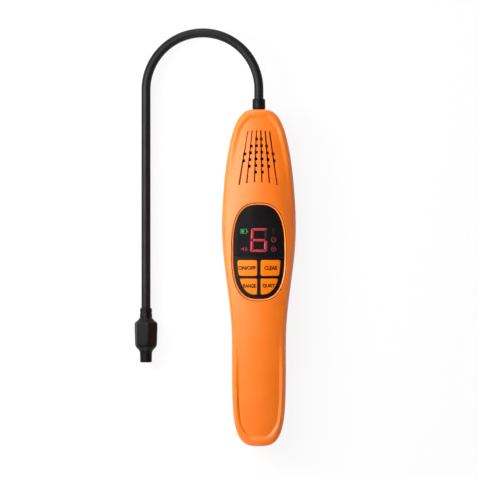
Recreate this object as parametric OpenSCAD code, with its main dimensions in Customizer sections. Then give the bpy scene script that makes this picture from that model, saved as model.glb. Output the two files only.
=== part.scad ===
// Hand-held refrigerant leak detector with a gooseneck probe, lying on its back.
// Millimetres. X is to the right across the face, Y runs from the tail to the head, Z is up out of the face.
// Stations along the handset are measured from the tail and called s; y = s - body_length / 2.

/* [Handset] */
// Greatest width, across the face panel
body_width = 50.6; // [49:0.2:56]
// Width of the grip
grip_width = 37; // [36.6:0.2:42]
// Height of the crown above the resting plane
body_height = 34; // [34:0.5:38]
// Height of the plane where the two shells meet
parting_height = 16; // [15.5:0.5:17.5]
// Thickness of the shell walls
wall = 2.2; // [1.8:0.1:2.4]
// Radius of the crown across the front
crown_radius = 46; // [44:1:60]
// Length of the straight stretch of the crown to either side of the middle of the panel
crown_flat = 20; // [14:1:26]
// Radius of the arch along the front, from there to the tail
tail_arch_radius = 960; // [900:20:1600]
// Radius of the arch along the front, from there to the head
head_arch_radius = 400; // [390:10:800]
// Width of the rounded edge round the front
edge_width = 3.4; // [2.8:0.1:4.2]
// Height of the rim above the front at the tail
tail_rim = 1.4; // [0.6:0.1:1.8]
// Height of the rim above the front at the head
head_rim = 1.1; // [0.4:0.1:1.6]
// Width of the slope from the rim down to the front, along the sides
rim_slope = 1.8; // [1.4:0.1:2.6]
// How much wider the top of the rim is at the tail than along the sides
tail_shelf = 1.8; // [0.6:0.1:2.4]
// How much wider the top of the rim is at the head than along the sides
head_shelf = 1.1; // [0.4:0.1:1.6]
// Distance from the tail over which the tail's rim keeps its height
tail_rim_length = 25; // [15:1:40]
// Distance over which the tail's rim then fades into the front
tail_rim_fade = 62; // [40:1:80]
// Distance from the head at which the head's rim begins
head_rim_length = 66; // [50:1:80]
// Distance over which the head's rim grows to its height
head_rim_fade = 58; // [40:1:66]
// Length of the round end of the tail
tail_reach = 80; // [60:1:95]
// Length of the taper of the head
head_reach = 79; // [65:1:90]
// Length over which the grip swells to the greatest width
swell_length = 80; // [60:1:90]
// Distance from the middle of the panel to the greatest width
swell_lead = 18; // [10:0.5:24]
// Width of the rounding round the back
back_round = 10; // [8:0.5:11]

/* [Face panel] */
// Width of the oval panel
panel_width = 34.4; // [32:0.2:35]
// Length of the oval panel
panel_length = 63.6; // [62:0.2:66]
// Thickness of the panel
panel_thickness = 2; // [1.6:0.1:2.4]
// Depth of the panel below the crown
panel_depth = 1.2; // [0.9:0.1:1.4]
// Share of the panel's length above its middle where the display begins
display_share = -0.055; // [-0.07:0.005:-0.04]
// Width of the bar between the left and right keys
key_gap = 2.1; // [1.6:0.1:2.4]
// Width of the bar between the upper and lower keys
row_gap = 1.6; // [1.3:0.1:1.8]
// Distance from the middle of the panel down to that bar
row_drop = 17.2; // [16.6:0.1:17.8]
// Black margin between the keys and the oval
key_margin = 2.4; // [2.2:0.1:3]
// Height of the keys above the panel
key_rise = 0.7; // [0.4:0.1:0.9]
// Travel of a key when pressed
key_travel = 0.6; // [0.3:0.1:0.7]
// Gap all round a key
key_clearance = 0.3; // [0.25:0.05:0.35]
// Width of the flange that keeps a key under the frame
key_flange = 0.45; // [0.4:0.05:0.45]
// Height of the lit digit
digit_height = 16.2; // [14:0.2:17]
// Width of the lit digit
digit_width = 11.6; // [10:0.2:12]
// Width of one bar of the digit
digit_bar = 2; // [1.6:0.1:2.2]

/* [Vents] */
// Number of fanned grooves
vent_count = 6; // [4:2:6]
// Length of the grooves
vent_length = 35.5; // [33:0.5:37]
// Distance from the head to the upper ends of the grooves
vent_top = 14.6; // [13.5:0.1:16]
// Distance from the panel to the lower ends of the grooves
vent_gap = 15.5; // [13:0.5:18]
// Distance between neighbouring grooves at their lower ends
vent_pitch = 5.1; // [4.6:0.1:5.3]
// Width of a groove at its lower end
vent_width = 2.2; // [1.8:0.1:2.4]
// Depth of the grooves
vent_depth = 1.1; // [0.5:0.1:1.1]
// Side of the small square holes in the grooves
vent_hole = 1.8; // [1.4:0.1:1.8]
// Distance between neighbouring holes
vent_hole_pitch = 4.5; // [4:0.1:4.6]
// Radius of the arcs on which the ends and the holes of the grooves lie
vent_row_radius = 42; // [36:1:60]

/* [Probe] */
// Outer diameter of the gooseneck
neck_diameter = 6.3; // [5.6:0.1:6.6]
// Radius of the arch of the gooseneck
neck_arch_radius = 39; // [34:0.5:45]
// Length of the straight leg beside the handset
neck_leg = 149.9; // [120:0.1:155]
// Diameter of the gland where it meets the handset
gland_diameter = 9; // [8.6:0.1:9.4]
// Length of the gland outside the handset
gland_length = 8; // [6:0.5:10]
// Diameter of the ferrule at the tip
ferrule_diameter = 8.3; // [7.8:0.1:8.8]
// Diameter of the sensor cap across its corners
cap_diameter = 16.8; // [15.6:0.1:18]
// Turn of the sensor cap's six sides from level, in degrees
cap_turn = 13.5; // [0:0.5:30]
// Diameter of the nozzle
nozzle_diameter = 8.3; // [7.6:0.1:9]

/* [Inside] */
// Diameter of a cell
cell_diameter = 14.5; // [14.1:0.1:14.5]
// Length of a cell with its button
cell_length = 50.5; // [49.5:0.1:50.5]
// Distance from the tail to the battery tray
bay_start = 29; // [28:0.5:34]
// Room for the spring of a cell
spring_length = 8.1; // [7:0.1:9]
// Thickness of the tray's end walls
tray_wall = 1.2; // [1:0.1:1.6]
// Thickness of the cell contacts
contact_thickness = 0.5; // [0.3:0.1:0.6]
// Gap between the battery cover and what it slides past
cover_gap = 0.3; // [0.2:0.05:0.5]
// Number of thumb grooves across the battery cover
grip_count = 6; // [4:1:8]
// Distance between neighbouring thumb grooves
grip_pitch = 3; // [2.6:0.1:3.6]
// Width of a thumb groove
grip_groove = 1.4; // [1:0.1:1.6]
// Depth of a thumb groove
grip_depth = 0.6; // [0.3:0.1:0.8]
// Length of the thumb grooves, from side to side
grip_span = 13; // [10:0.5:14]
// Distance from the end of the battery cover to the panel
panel_gap = 5.8; // [5.8:0.1:9]
// Radius of the bosses for the case screws
boss_radius = 3.6; // [3.4:0.1:3.8]
// Thickness of the main board
board_thickness = 1.6; // [1:0.1:1.8]
// Width of the main board
board_width = 32; // [30:0.5:33]
// Diameter of the sounder
buzzer_diameter = 19; // [15:0.5:22]
// Height of the sounder
buzzer_height = 3.3; // [2.5:0.1:3.5]
// Side of a push switch
switch_size = 6; // [5:0.5:6.5]
// Height of a push switch
switch_height = 1.8; // [1.5:0.1:2]
// Height of the display module on the board
module_height = 3.8; // [3:0.1:4]

/* [Hidden] */
$fn = 48;

// Outline of the handset
side_steps = 44;
ring_points = 2 * side_steps;
tail_pole = 16;
head_pole = 14;

// The handset is as long as the row of things that it holds
tray_start = bay_start;
tray_end = bay_start + cell_length + spring_length + 2 * tray_wall + 2 * contact_thickness;
cover_length = tray_end + 4;
panel_station = cover_length + panel_gap + panel_length / 2;
vent_low = panel_station + panel_length / 2 + vent_gap;
vent_high = vent_low + vent_length;
body_length = vent_high + vent_top;
swell_end = panel_station + swell_lead;
swell_start = swell_end - swell_length;

// Surfaces of the face panel are cylinders round one axis
axis_height = body_height - crown_radius;
panel_radius = crown_radius - panel_depth;
seat_radius = panel_radius - panel_thickness;
key_radius = panel_radius + key_rise;
split_station = panel_station + display_share * panel_length;
key_top = split_station - 1.9;
key_middle = panel_station - row_drop;
light_clearance = 0.05;

// Levels and stations inside
board_top = body_height - 9.6;
board_bottom = board_top - board_thickness;
case_sites = [[11, cover_length + boss_radius + 1], [8, body_length - 16]];
board_half = board_width / 2;
board_start = case_sites[0].y + boss_radius + 1;
board_end = body_length - 23.4;
standoffs = [[board_half - 1.6, board_start + 3], [board_half - 3, panel_station + panel_length / 2 + 6.7]];
plunger_radius = 1.4;
plunger_rest = 1.2;
plunger_top = board_top + switch_height + 1.1;
cell_height = parting_height - 4.5;
cell_offset = cell_diameter / 2 + 0.2;
tray_roof = cell_height + cell_diameter / 2 + 0.3;
tray_sites = [tray_start + 11, tray_end - 11];

// Stations along the probe
gland_seat = body_length - 0.5;
spring_line = gland_seat + gland_length + 6.4;
ferrule_length = 6.6;
tip_station = spring_line - neck_leg;
cap_corner = cap_diameter / 2 - 0.05;
tip_height = cap_corner * cos(30 - cap_turn);
droop = asin((parting_height - tip_height) / (2 * neck_arch_radius));
tip_x = -2 * neck_arch_radius * cos(droop);
core_diameter = neck_diameter - 1.7;
lead_diameter = 2;
spigot_radius = 3.3;

function clamp(v, low, high) = min(max(v, low), high);
function ease(t) = (1 - cos(180 * clamp(t, 0, 1))) / 2;
function taper(t, reach, n, m) = pow(1 - pow(1 - clamp(t / reach, 0, 1), n), 1 / m);

// Half width of the outline at station s
function half_width(s) = (grip_width / 2
  + (body_width - grip_width) / 2 * ease((s - swell_start) / (swell_end - swell_start)))
  * taper(s, tail_reach, 5.8, 3.2) * taper(body_length - s, head_reach, 1.61, 3.49);

// Points of the outline, crowded towards the two ends
function station(i) = body_length * (1 - cos(180 * i / side_steps)) / 2;
function outline_point(i) = i <= side_steps
  ? [half_width(station(i)), station(i)]
  : [-half_width(station(ring_points - i)), station(ring_points - i)];

// Each point of the outline looks along a ray to the spine of the handset
function spine_point(p) = [0, clamp(p.y, tail_pole, body_length - head_pole)];
function ray_length(i) = norm(spine_point(outline_point(i)) - outline_point(i));
function inset_point(i, d) = outline_point(i)
  + (spine_point(outline_point(i)) - outline_point(i)) * d / ray_length(i);

// Height of the front, of its rim and of its rounded edge
function arch(s) = body_height - pow(max(0, abs(s - panel_station) - crown_flat), 2)
  / (2 * (s < panel_station ? tail_arch_radius : head_arch_radius));
function dome(x, s) = arch(s) - crown_radius + sqrt(pow(crown_radius, 2) - x * x);
function rim(s) = tail_rim * (1 - ease((s - tail_rim_length) / tail_rim_fade))
  + head_rim * ease((s - body_length + head_rim_length) / head_rim_fade);
function edge(d) = sqrt(1 - pow(1 - clamp(d / edge_width, 0, 1), 2));
function front_height(p, d) = parting_height + edge(d)
  * (dome(p.x, p.y) + rim(p.y) * (1 - ease((d - rim_flat) / rim_slope)) - parting_height);
function lining_height(p, d) = parting_height + edge(d - wall) * (dome(p.x, p.y) - wall - parting_height);

// Height of the back
function round_off(t) = pow(1 - pow(1 - clamp(t, 0, 1), 2.4), 1 / 2.4);
function back_height(d) = parting_height * (1 - round_off(d / back_round));
function back_lining(d) = wall + (parting_height - wall) * (1 - round_off((d - wall) / (back_round - wall)));

function raise(p, z) = [p.x, p.y - body_length / 2, z];
rim_flat = 0.85 * edge_width;
rim_end = rim_flat + rim_slope;
slope_insets = [for (f = [0, 0.25, 0.5, 0.75, 1]) rim_flat + f * rim_slope];
front_insets = concat([0, 0.06, 0.3, 0.8, 1.6, 2.5], slope_insets);
lining_insets = [0, 0.08, 0.5, 1.3, edge_width];
back_steps = [0, 0.012, 0.06, 0.15, 0.3, 0.52, 0.77, 1];
fractions = [0.3, 0.6, 0.9];

// The rim's top and slope grow wider towards both ends
function tail_end(i) = 1 - ease(outline_point(i).y / 18);
function head_end(i) = 1 - ease((body_length - outline_point(i).y) / 14);
function widened(i, d) = d <= rim_flat ? d : d + tail_shelf * tail_end(i) + head_shelf * head_end(i)
  + (d - rim_flat) * (0.6 * tail_end(i) + 0.25 * head_end(i));

function front_ring(d) = [for (i = [0 : ring_points - 1])
  let (p = inset_point(i, widened(i, d))) raise(p, front_height(p, d))];
function front_inner_ring(f) = [for (i = [0 : ring_points - 1])
  let (e = widened(i, rim_end), d = e + f * (ray_length(i) - e), p = inset_point(i, d))
  raise(p, front_height(p, d))];
function lining_ring(d) = [for (i = [0 : ring_points - 1])
  let (p = inset_point(i, wall + d)) raise(p, lining_height(p, wall + d))];
function lining_inner_ring(f) = [for (i = [0 : ring_points - 1])
  let (d = wall + edge_width + f * (ray_length(i) - wall - edge_width), p = inset_point(i, d))
  raise(p, lining_height(p, d))];
function back_ring(d) = [for (i = [0 : ring_points - 1]) raise(inset_point(i, d), back_height(d))];
function back_lining_ring(d) = [for (i = [0 : ring_points - 1])
  raise(inset_point(i, wall + d), back_lining(wall + d))];

function reversed(list) = [for (i = [len(list) - 1 : -1 : 0]) list[i]];
function joined(lists) = [for (list = lists) each list];
function band(a, b) = [for (i = [0 : ring_points - 1]) let (k = (i + 1) % ring_points)
  each [[a + i, b + i, b + k], [a + i, b + k, a + k]]];
function lid(a) = [for (i = [0 : side_steps - 1]) let (j = (ring_points - i) % ring_points)
  each i == 0 ? [[a, a + 1, a + ring_points - 1]]
  : i == side_steps - 1 ? [[a + i, a + i + 1, a + j]]
  : [[a + i, a + i + 1, a + j - 1], [a + i, a + j - 1, a + j]]];
function flipped(faces) = [for (f = faces) [f[2], f[1], f[0]]];

// Solid through a row of rings, closed across its first and last ring
module ring_loft(rings) {
  last = len(rings) - 1;
  polyhedron(
    points = joined(rings),
    faces = concat(
      lid(0),
      joined([for (r = [0 : last - 1]) band(r * ring_points, (r + 1) * ring_points)]),
      flipped(lid(last * ring_points))
    ),
    convexity = 6
  );
}

module front_body() {
  outer = concat([for (d = front_insets) front_ring(d)], [for (f = fractions) front_inner_ring(f)]);
  inner = concat([for (d = lining_insets) lining_ring(d)], [for (f = fractions) lining_inner_ring(f)]);
  ring_loft(concat(reversed(inner), outer));
}

module back_body() {
  outer = [for (t = back_steps) back_ring(t * back_round)];
  inner = [for (t = back_steps) back_lining_ring(t * (back_round - wall))];
  ring_loft(concat(reversed(outer), inner));
}

// Moves its children to station s, x to the right, at height z
module at(x, s, z) {
  translate([x, s - body_length / 2, z])
    children();
}

// Cylinder along the handset round the axis of the panel, from station a to station b
module panel_cylinder(r, a, b) {
  at(0, b, axis_height)
    rotate([90, 0, 0])
      cylinder(r = r, h = b - a, $fn = 180);
}

function oval_power(v) = sign(v) * pow(abs(v), 2 / 2.75);
function oval_point(a, x, y) = [x * oval_power(cos(a)), y * oval_power(sin(a))];

// Oval of the panel, drawn in by the given margin
module oval(margin) {
  polygon([for (a = [0 : 5 : 355]) oval_point(a, panel_width / 2 - margin, panel_length / 2 - margin)]);
}

module oval_prism(margin, low) {
  at(0, panel_station, low)
    linear_extrude(body_height + 2 - low)
      oval(margin);
}

// Everything between two panel cylinders inside the oval
module panel_layer(margin, inner, outer) {
  intersection() {
    difference() {
      panel_cylinder(outer, panel_station - panel_length / 2 - 4, panel_station + panel_length / 2 + 4);
      panel_cylinder(inner, panel_station - panel_length / 2 - 5, panel_station + panel_length / 2 + 5);
    }
    oval_prism(margin, board_top - 2);
  }
}

module both_sides() {
  children();
  mirror([1, 0, 0])
    children();
}

// Rounded rectangle between two corners
module rounded_block(low, high, r) {
  translate([low.x + r, low.y])
    square([high.x - low.x - 2 * r, high.y - low.y]);
  translate([low.x, low.y + r])
    square([high.x - low.x, high.y - low.y - 2 * r]);
  for (x = [low.x + r, high.x - r], y = [low.y + r, high.y - r])
    translate([x, y])
      circle(r = r, $fn = 24);
}

// Fan of the vents: every groove points at one apex above the head
vent_apex = vent_low + 87;
function vent_x(k, s) = (k + 0.5) * vent_pitch * (vent_apex - s) / (vent_apex - vent_low);
function vent_half(s) = vent_width / 2 * (vent_apex - s) / (vent_apex - vent_low);
function vent_holes(k) = max(2, vent_count - 2 * k);
vent_middle = vent_low + 18.2;
function vent_turn(k) = atan(vent_x(k, 0) / vent_apex);
function vent_row(k, s) = s - pow(vent_x(k, s), 2) / (2 * vent_row_radius);

// Follows the crown under the vents at the given depth
module vent_floor(depth) {
  tilt = atan((arch(vent_low) - arch(vent_high)) / vent_length);
  at(0, vent_low, arch(vent_low) - depth)
    rotate([-tilt, 0, 0])
      translate([0, vent_length + 12, -crown_radius])
        rotate([90, 0, 0])
          cylinder(r = crown_radius, h = vent_length + 24, $fn = 180);
}

module vent_groove(k) {
  low = vent_row(k, vent_low);
  high = vent_row(k, vent_high);
  at(0, 0, arch(vent_high) - 8)
    linear_extrude(16)
      polygon([
        [vent_x(k, low) - vent_half(low), low],
        [vent_x(k, low) + vent_half(low), low],
        [vent_x(k, high) + vent_half(high), high],
        [vent_x(k, high) - vent_half(high), high]
      ]);
}

module vent_hole_row(k) {
  count = vent_holes(k);
  for (j = [0 : count - 1]) {
    s = vent_row(k, vent_middle + (j - (count - 1) / 2) * vent_hole_pitch);
    at(vent_x(k, s), s, arch(vent_high) - 12)
      rotate([0, 0, vent_turn(k)])
        translate([-vent_hole / 2, -vent_hole / 2, 0])
          cube([vent_hole, vent_hole, 20]);
  }
}

module case_boss_holes() {
  for (site = case_sites)
    at(site.x, site.y, parting_height - 1)
      cylinder(r = 1.45, h = 8.2);
}

module gland_passage() {
  at(0, body_length + 2, parting_height)
    rotate([90, 0, 0])
      cylinder(d = gland_diameter - 1.2, h = 14);
  at(0, body_length + 2, parting_height)
    rotate([90, 0, 0])
      cylinder(d = gland_diameter + 0.4, h = 2.5);
}

// Front half of the handset
module front_shell() {
  color([0.96, 0.44, 0.09])
    difference() {
      union() {
        front_body();
        panel_layer(-2, seat_radius - 1.4, crown_radius - 1);
        both_sides() {
          for (site = case_sites)
            at(site.x, site.y, parting_height)
               cylinder(r = boss_radius, h = dome(site.x + boss_radius, site.y) - 0.6 * wall - parting_height);
          for (site = standoffs)
            at(site.x, site.y, board_top)
              cylinder(r = 2.3, h = dome(site.x + 2.3, site.y) - 0.6 * wall - board_top);
        }
        for (s = tray_sites)
          at(0, s, tray_roof + 1.4)
            cylinder(r = 3, h = dome(3, s) - 0.6 * wall - tray_roof - 1.4);
      }
      intersection() {
        oval_prism(0, board_top - 2);
        difference() {
          at(0, panel_station, body_height / 2 + 8)
            cube([body_width, panel_length + 10, body_height], center = true);
          panel_cylinder(seat_radius, panel_station - 60, panel_station + 60);
        }
      }
      intersection() {
        oval_prism(-1.1, board_top - 2);
        difference() {
          at(0, panel_station, body_height / 2 + 8)
            cube([body_width, panel_length + 10, body_height], center = true);
          panel_cylinder(crown_radius - 0.7, panel_station - 60, panel_station + 60);
        }
      }
      oval_prism(1, board_top + 1);
      difference() {
        both_sides()
          for (k = [0 : vent_count / 2 - 1])
            vent_groove(k);
        vent_floor(vent_depth);
      }
      both_sides() {
        for (k = [0 : vent_count / 2 - 1])
          vent_hole_row(k);
        case_boss_holes();
        for (site = standoffs)
          at(site.x, site.y, board_top - 1)
            cylinder(r = 1.05, h = 3.6);
      }
      for (s = tray_sites)
        at(0, s, tray_roof)
          cylinder(r = 1.25, h = 7);
      gland_passage();
    }
}

// Rear half of the handset, from the battery cover to the head
module rear_shell() {
  color([0.93, 0.41, 0.08])
    difference() {
      union() {
        intersection() {
          back_body();
          at(-body_width, cover_length, -1)
            cube([2 * body_width, body_length, parting_height + 2]);
        }
        both_sides()
          for (site = case_sites)
            at(site.x, site.y, 0.5 * wall)
              cylinder(r = boss_radius, h = parting_height - 0.5 * wall);
      }
      both_sides()
        for (site = case_sites) {
          at(site.x, site.y, -1)
            cylinder(r = 1.65, h = parting_height + 2);
          at(site.x, site.y, -1)
            cylinder(r = 2.95, h = 5.2);
        }
      gland_passage();
    }
}

// Lower back of the grip, which slides off towards the tail
module battery_cover() {
  color([0.93, 0.41, 0.08]) {
    difference() {
      intersection() {
        back_body();
        at(-body_width, -5, -1)
          cube([2 * body_width, cover_length + 5 - cover_gap, parting_height + 1 - cover_gap]);
      }
      for (k = [0 : grip_count - 1])
        at(-grip_span / 2, cover_length - 14 - k * grip_pitch, -1)
          cube([grip_span, grip_groove, 1 + grip_depth]);
    }
    at(-7, cover_length - 8, wall - 0.2)
      cube([14, 8, 0.2 + cover_gap + 1.4]);
    at(-7, cover_length - 8, wall + cover_gap)
      cube([14, 12, 1.4]);
  }
}

// Flat outline of one key: left or right half, upper or lower row
module key_outline(side, low, high, grow) {
  intersection() {
    translate([0, panel_station])
      oval(key_margin - grow);
    if (side > 0)
      rounded_block([key_gap / 2 - grow, low - grow], [panel_width, high + grow], 1);
    else
      rounded_block([-panel_width, low - grow], [-key_gap / 2 + grow, high + grow], 1);
  }
}

key_rows = [[key_middle + row_gap / 2, key_top],
  [panel_station - panel_length / 2 + key_margin - 0.2, key_middle - row_gap / 2]];

module key_column(side, row, grow, low) {
  at(0, 0, low)
    linear_extrude(body_height + 2 - low)
      key_outline(side, key_rows[row][0], key_rows[row][1], grow);
}

function key_x(row) = row == 0 ? 7.4 : 6.6;
function key_s(row) = (key_rows[row][0] + key_rows[row][1]) / 2 + (row == 0 ? 0 : 0.9);

// Key cap: crowned top, a flange that keeps it under the frame and a stem down to its switch
module key_cap(side, row) {
  color([0.97, 0.5, 0.12]) {
    intersection() {
      key_column(side, row, 0, board_top);
      difference() {
        panel_cylinder(key_radius, panel_station - 60, panel_station + 60);
        panel_cylinder(seat_radius - 1.3, panel_station - 61, panel_station + 61);
      }
    }
    intersection() {
      key_column(side, row, key_flange, board_top);
      difference() {
        panel_cylinder(seat_radius - 0.15, panel_station - 60, panel_station + 60);
        panel_cylinder(seat_radius - 1.2, panel_station - 61, panel_station + 61);
      }
    }
    at(side * key_x(row), key_s(row), plunger_top)
      cylinder(r = 2, h = 3);
  }
}

module power_key() {
  key_cap(-1, 0);
}

module reset_key() {
  key_cap(1, 0);
}

module sensitivity_key() {
  key_cap(-1, 1);
}

module mute_key() {
  key_cap(1, 1);
}

module switch_plunger(side, row) {
  color([0.12, 0.12, 0.13])
    at(side * key_x(row), key_s(row), board_top + plunger_rest)
      cylinder(r = plunger_radius, h = plunger_top - board_top - plunger_rest);
}

module power_plunger() {
  switch_plunger(-1, 0);
}

module reset_plunger() {
  switch_plunger(1, 0);
}

module sensitivity_plunger() {
  switch_plunger(-1, 1);
}

module mute_plunger() {
  switch_plunger(1, 1);
}

// Bodies of the four push switches
module switch_bases() {
  color([0.2, 0.2, 0.21])
    for (side = [-1, 1], row = [0, 1])
      at(side * key_x(row), key_s(row), board_top)
        difference() {
          translate([-switch_size / 2, -switch_size / 2, 0])
            cube([switch_size, switch_size, switch_height]);
          translate([0, 0, plunger_rest - key_travel - 0.2])
            cylinder(r = plunger_radius + 0.35, h = switch_height);
        }
}

// Lower half of the panel, with an opening for each key
module key_frame() {
  color([0.1, 0.1, 0.1])
    difference() {
      intersection() {
        panel_layer(0.05, seat_radius, panel_radius);
        at(-panel_width, split_station - 60 - 0.05, 0)
          cube([2 * panel_width, 60, body_height + 5]);
      }
      for (side = [-1, 1], row = [0, 1])
        key_column(side, row, key_clearance, board_top);
    }
}

function lean(p) = [p.x + 0.04 * p.y, p.y];

// Outline of one bar of the digit between its two end points
module bar_outline(a, b, grow) {
  along = (b - a) / norm(b - a);
  across = [-along.y, along.x];
  half = digit_bar / 2 + grow;
  from = a + along * (0.15 - grow);
  to = b - along * (0.15 - grow);
  polygon([for (p = [from, from + along * half + across * half, to - along * half + across * half, to,
    to - along * half - across * half, from + along * half - across * half]) lean(p)]);
}

bar_x = digit_width / 2 - digit_bar / 2;
bar_y = digit_height / 2 - digit_bar / 2;
lit_bars = [[[-bar_x, bar_y], [bar_x, bar_y]], [[-bar_x, 0], [-bar_x, bar_y]], [[-bar_x, 0], [bar_x, 0]],
  [[-bar_x, -bar_y], [-bar_x, 0]], [[bar_x, -bar_y], [bar_x, 0]], [[-bar_x, -bar_y], [bar_x, -bar_y]]];
idle_bars = [[[bar_x, 0], [bar_x, bar_y]]];
digit_station = panel_station + 8;
mark_x = 10.2;
mark_rows = [6, 0, -6.1];
module_top = board_top + module_height;
module_half = mark_x + 3.4;
module_reach = digit_height / 2 + 2.2;

// Column of light from the display module to the surface of the window
module light_pipe(low, high) {
  intersection() {
    at(0, digit_station, low)
      linear_extrude(body_height + 2 - low)
        children();
    panel_cylinder(high, panel_station - 60, panel_station + 60);
  }
}

module bars_outline(bars, grow) {
  for (b = bars)
    bar_outline(b[0], b[1], grow);
}

// Plain battery sign
module battery_outline(grow) {
  translate([-mark_x - 2.7 - grow, mark_rows[0] - 1.7 - grow])
    square([4.8 + 2 * grow, 3.4 + 2 * grow]);
  translate([-mark_x + 2, mark_rows[0] - 0.8 - grow])
    square([0.8 + grow, 1.6 + 2 * grow]);
}

// Plain horn sign and two plain discs
module alarm_outline(grow) {
  translate([-mark_x, mark_rows[2]])
    polygon([[-2.4 - grow, -0.8 - grow], [-1 - grow, -0.8 - grow], [0.8 + grow, -1.9 - 2 * grow],
      [0.8 + grow, 1.9 + 2 * grow], [-1 - grow, 0.8 + grow], [-2.4 - grow, 0.8 + grow]]);
  for (y = [mark_rows[1], mark_rows[2]])
    translate([mark_x, y])
      circle(r = 2 + grow);
}

module idle_outline(grow) {
  translate([mark_x - 1.2 - grow, mark_rows[0] - 1.7 - grow])
    square([2.4 + 2 * grow, 3.4 + 2 * grow]);
}

module digit_bars() {
  color([0.9, 0.16, 0.26])
    light_pipe(module_top, panel_radius)
      bars_outline(lit_bars, 0);
}

module idle_bar() {
  color([0.2, 0.19, 0.19])
    light_pipe(module_top, panel_radius)
      bars_outline(idle_bars, 0);
}

module battery_mark() {
  color([0.25, 0.62, 0.3])
    light_pipe(module_top, panel_radius)
      battery_outline(0);
}

module alarm_marks() {
  color([0.85, 0.16, 0.2])
    light_pipe(module_top, panel_radius)
      alarm_outline(0);
}

module idle_mark() {
  color([0.25, 0.25, 0.25])
    light_pipe(module_top, panel_radius)
      idle_outline(0);
}

// Upper half of the panel, with an opening for each light
module display_window() {
  color([0.06, 0.06, 0.065])
    difference() {
      intersection() {
        panel_layer(0.05, seat_radius, panel_radius);
        at(-panel_width, split_station + 0.05, 0)
          cube([2 * panel_width, 60, body_height + 5]);
      }
      at(0, digit_station, board_top)
        linear_extrude(12) {
          bars_outline(lit_bars, light_clearance);
          bars_outline(idle_bars, light_clearance);
          battery_outline(light_clearance);
          alarm_outline(light_clearance);
          idle_outline(light_clearance);
        }
    }
}

// Block of lights on the main board
module display_module() {
  color([0.16, 0.16, 0.17])
    at(-module_half, digit_station - module_reach, board_top)
      cube([2 * module_half, 2 * module_reach, module_height]);
}

module main_board() {
  color([0.08, 0.35, 0.18])
    difference() {
      at(0, 0, board_bottom)
        linear_extrude(board_thickness)
          rounded_block([-board_half, board_start], [board_half, board_end], 3);
      both_sides()
        for (site = standoffs)
          at(site.x, site.y, board_bottom - 1)
            cylinder(r = 1.2, h = board_thickness + 2);
    }
}

// Sounder under the vents
module buzzer() {
  color([0.09, 0.09, 0.1])
    at(0, vent_low + buzzer_diameter / 2 + 0.7, board_top)
      rotate_extrude()
        polygon([[0, 0], [buzzer_diameter / 2, 0], [buzzer_diameter / 2, buzzer_height - 0.5],
          [buzzer_diameter / 2 - 0.5, buzzer_height], [1.5, buzzer_height], [1.5, buzzer_height - 1],
          [0, buzzer_height - 1]]);
}

module case_screws() {
  color([0.6, 0.6, 0.62])
    both_sides()
      for (site = case_sites)
        at(site.x, site.y, 0)
          difference() {
            union() {
              translate([0, 0, 2])
                cylinder(r = 2.7, h = 2.2);
              translate([0, 0, 4])
                cylinder(r = 1.4, h = parting_height + 2.5);
            }
            translate([-0.35, -1.6, 1.5])
              cube([0.7, 3.2, 1.6]);
            translate([-1.6, -0.35, 1.5])
              cube([3.2, 0.7, 1.6]);
          }
}

module board_screws() {
  color([0.6, 0.6, 0.62])
    both_sides()
      for (site = standoffs)
        at(site.x, site.y, board_bottom - 1.4)
          difference() {
            union() {
              cylinder(r = 1.9, h = 1.4);
              cylinder(r = 1, h = board_thickness + 3.6);
            }
            translate([-0.25, -1.2, -1])
              cube([0.5, 2.4, 1.6]);
          }
}

// Cradle for the two cells, screwed to the front shell
module battery_tray() {
  half = 2 * cell_offset + 0.05;
  color([0.12, 0.12, 0.12])
    difference() {
      union() {
        at(-half - 0.6, tray_start, tray_roof)
          cube([2 * half + 1.2, tray_end - tray_start, 1.4]);
        both_sides()
          at(half, tray_start, parting_height - 2.5)
            cube([0.6, tray_end - tray_start, tray_roof + 1.4 - parting_height + 2.5]);
        for (s = [tray_start, tray_end - tray_wall])
          at(-13, s, cell_height - 5)
            cube([26, tray_wall, tray_roof - cell_height + 5.1]);
      }
      for (s = tray_sites)
        at(0, s, tray_roof - 1)
          cylinder(r = 1.4, h = 4);
    }
}

module tray_screws() {
  color([0.6, 0.6, 0.62])
    for (s = tray_sites)
      at(0, s, tray_roof - 1.5)
        difference() {
          union() {
            cylinder(r = 2, h = 1.5);
            cylinder(r = 1.2, h = 7.5);
          }
          translate([-0.25, -1.3, -1])
            cube([0.5, 2.6, 1.6]);
        }
}

cell_low = tray_start + tray_wall + contact_thickness;
cell_high = tray_end - tray_wall - contact_thickness;

// Cell along +Y from its flat end, which is at the origin
module cell() {
  rotate([-90, 0, 0])
    rotate_extrude()
      polygon([[0, 0], [cell_diameter / 2 - 0.6, 0], [cell_diameter / 2, 0.6],
        [cell_diameter / 2, cell_length - 1.8],
        [cell_diameter / 2 - 0.8, cell_length - 1], [2.75, cell_length - 1], [2.75, cell_length],
        [0, cell_length]]);
}

module left_cell() {
  color([0.72, 0.73, 0.75])
    at(-cell_offset, cell_low + spring_length, cell_height)
      cell();
}

module right_cell() {
  color([0.72, 0.73, 0.75])
    at(cell_offset, cell_high - spring_length, cell_height)
      rotate([0, 0, 180])
        cell();
}

// Coil along +Y made of touching turns that grow narrower
module coil() {
  turns = 9;
  wire = spring_length / turns / 2 * 1.04;
  for (k = [0 : turns - 1])
    translate([0, wire + k * (spring_length - 2 * wire) / (turns - 1), 0])
      rotate([90, 0, 0])
        rotate_extrude()
          translate([4.6 - 0.25 * k, 0])
            circle(r = wire, $fn = 16);
}

module cell_springs() {
  color([0.78, 0.76, 0.7]) {
    at(-cell_offset, cell_low, cell_height)
      coil();
    at(cell_offset, cell_high, cell_height)
      rotate([0, 0, 180])
        coil();
  }
}

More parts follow.
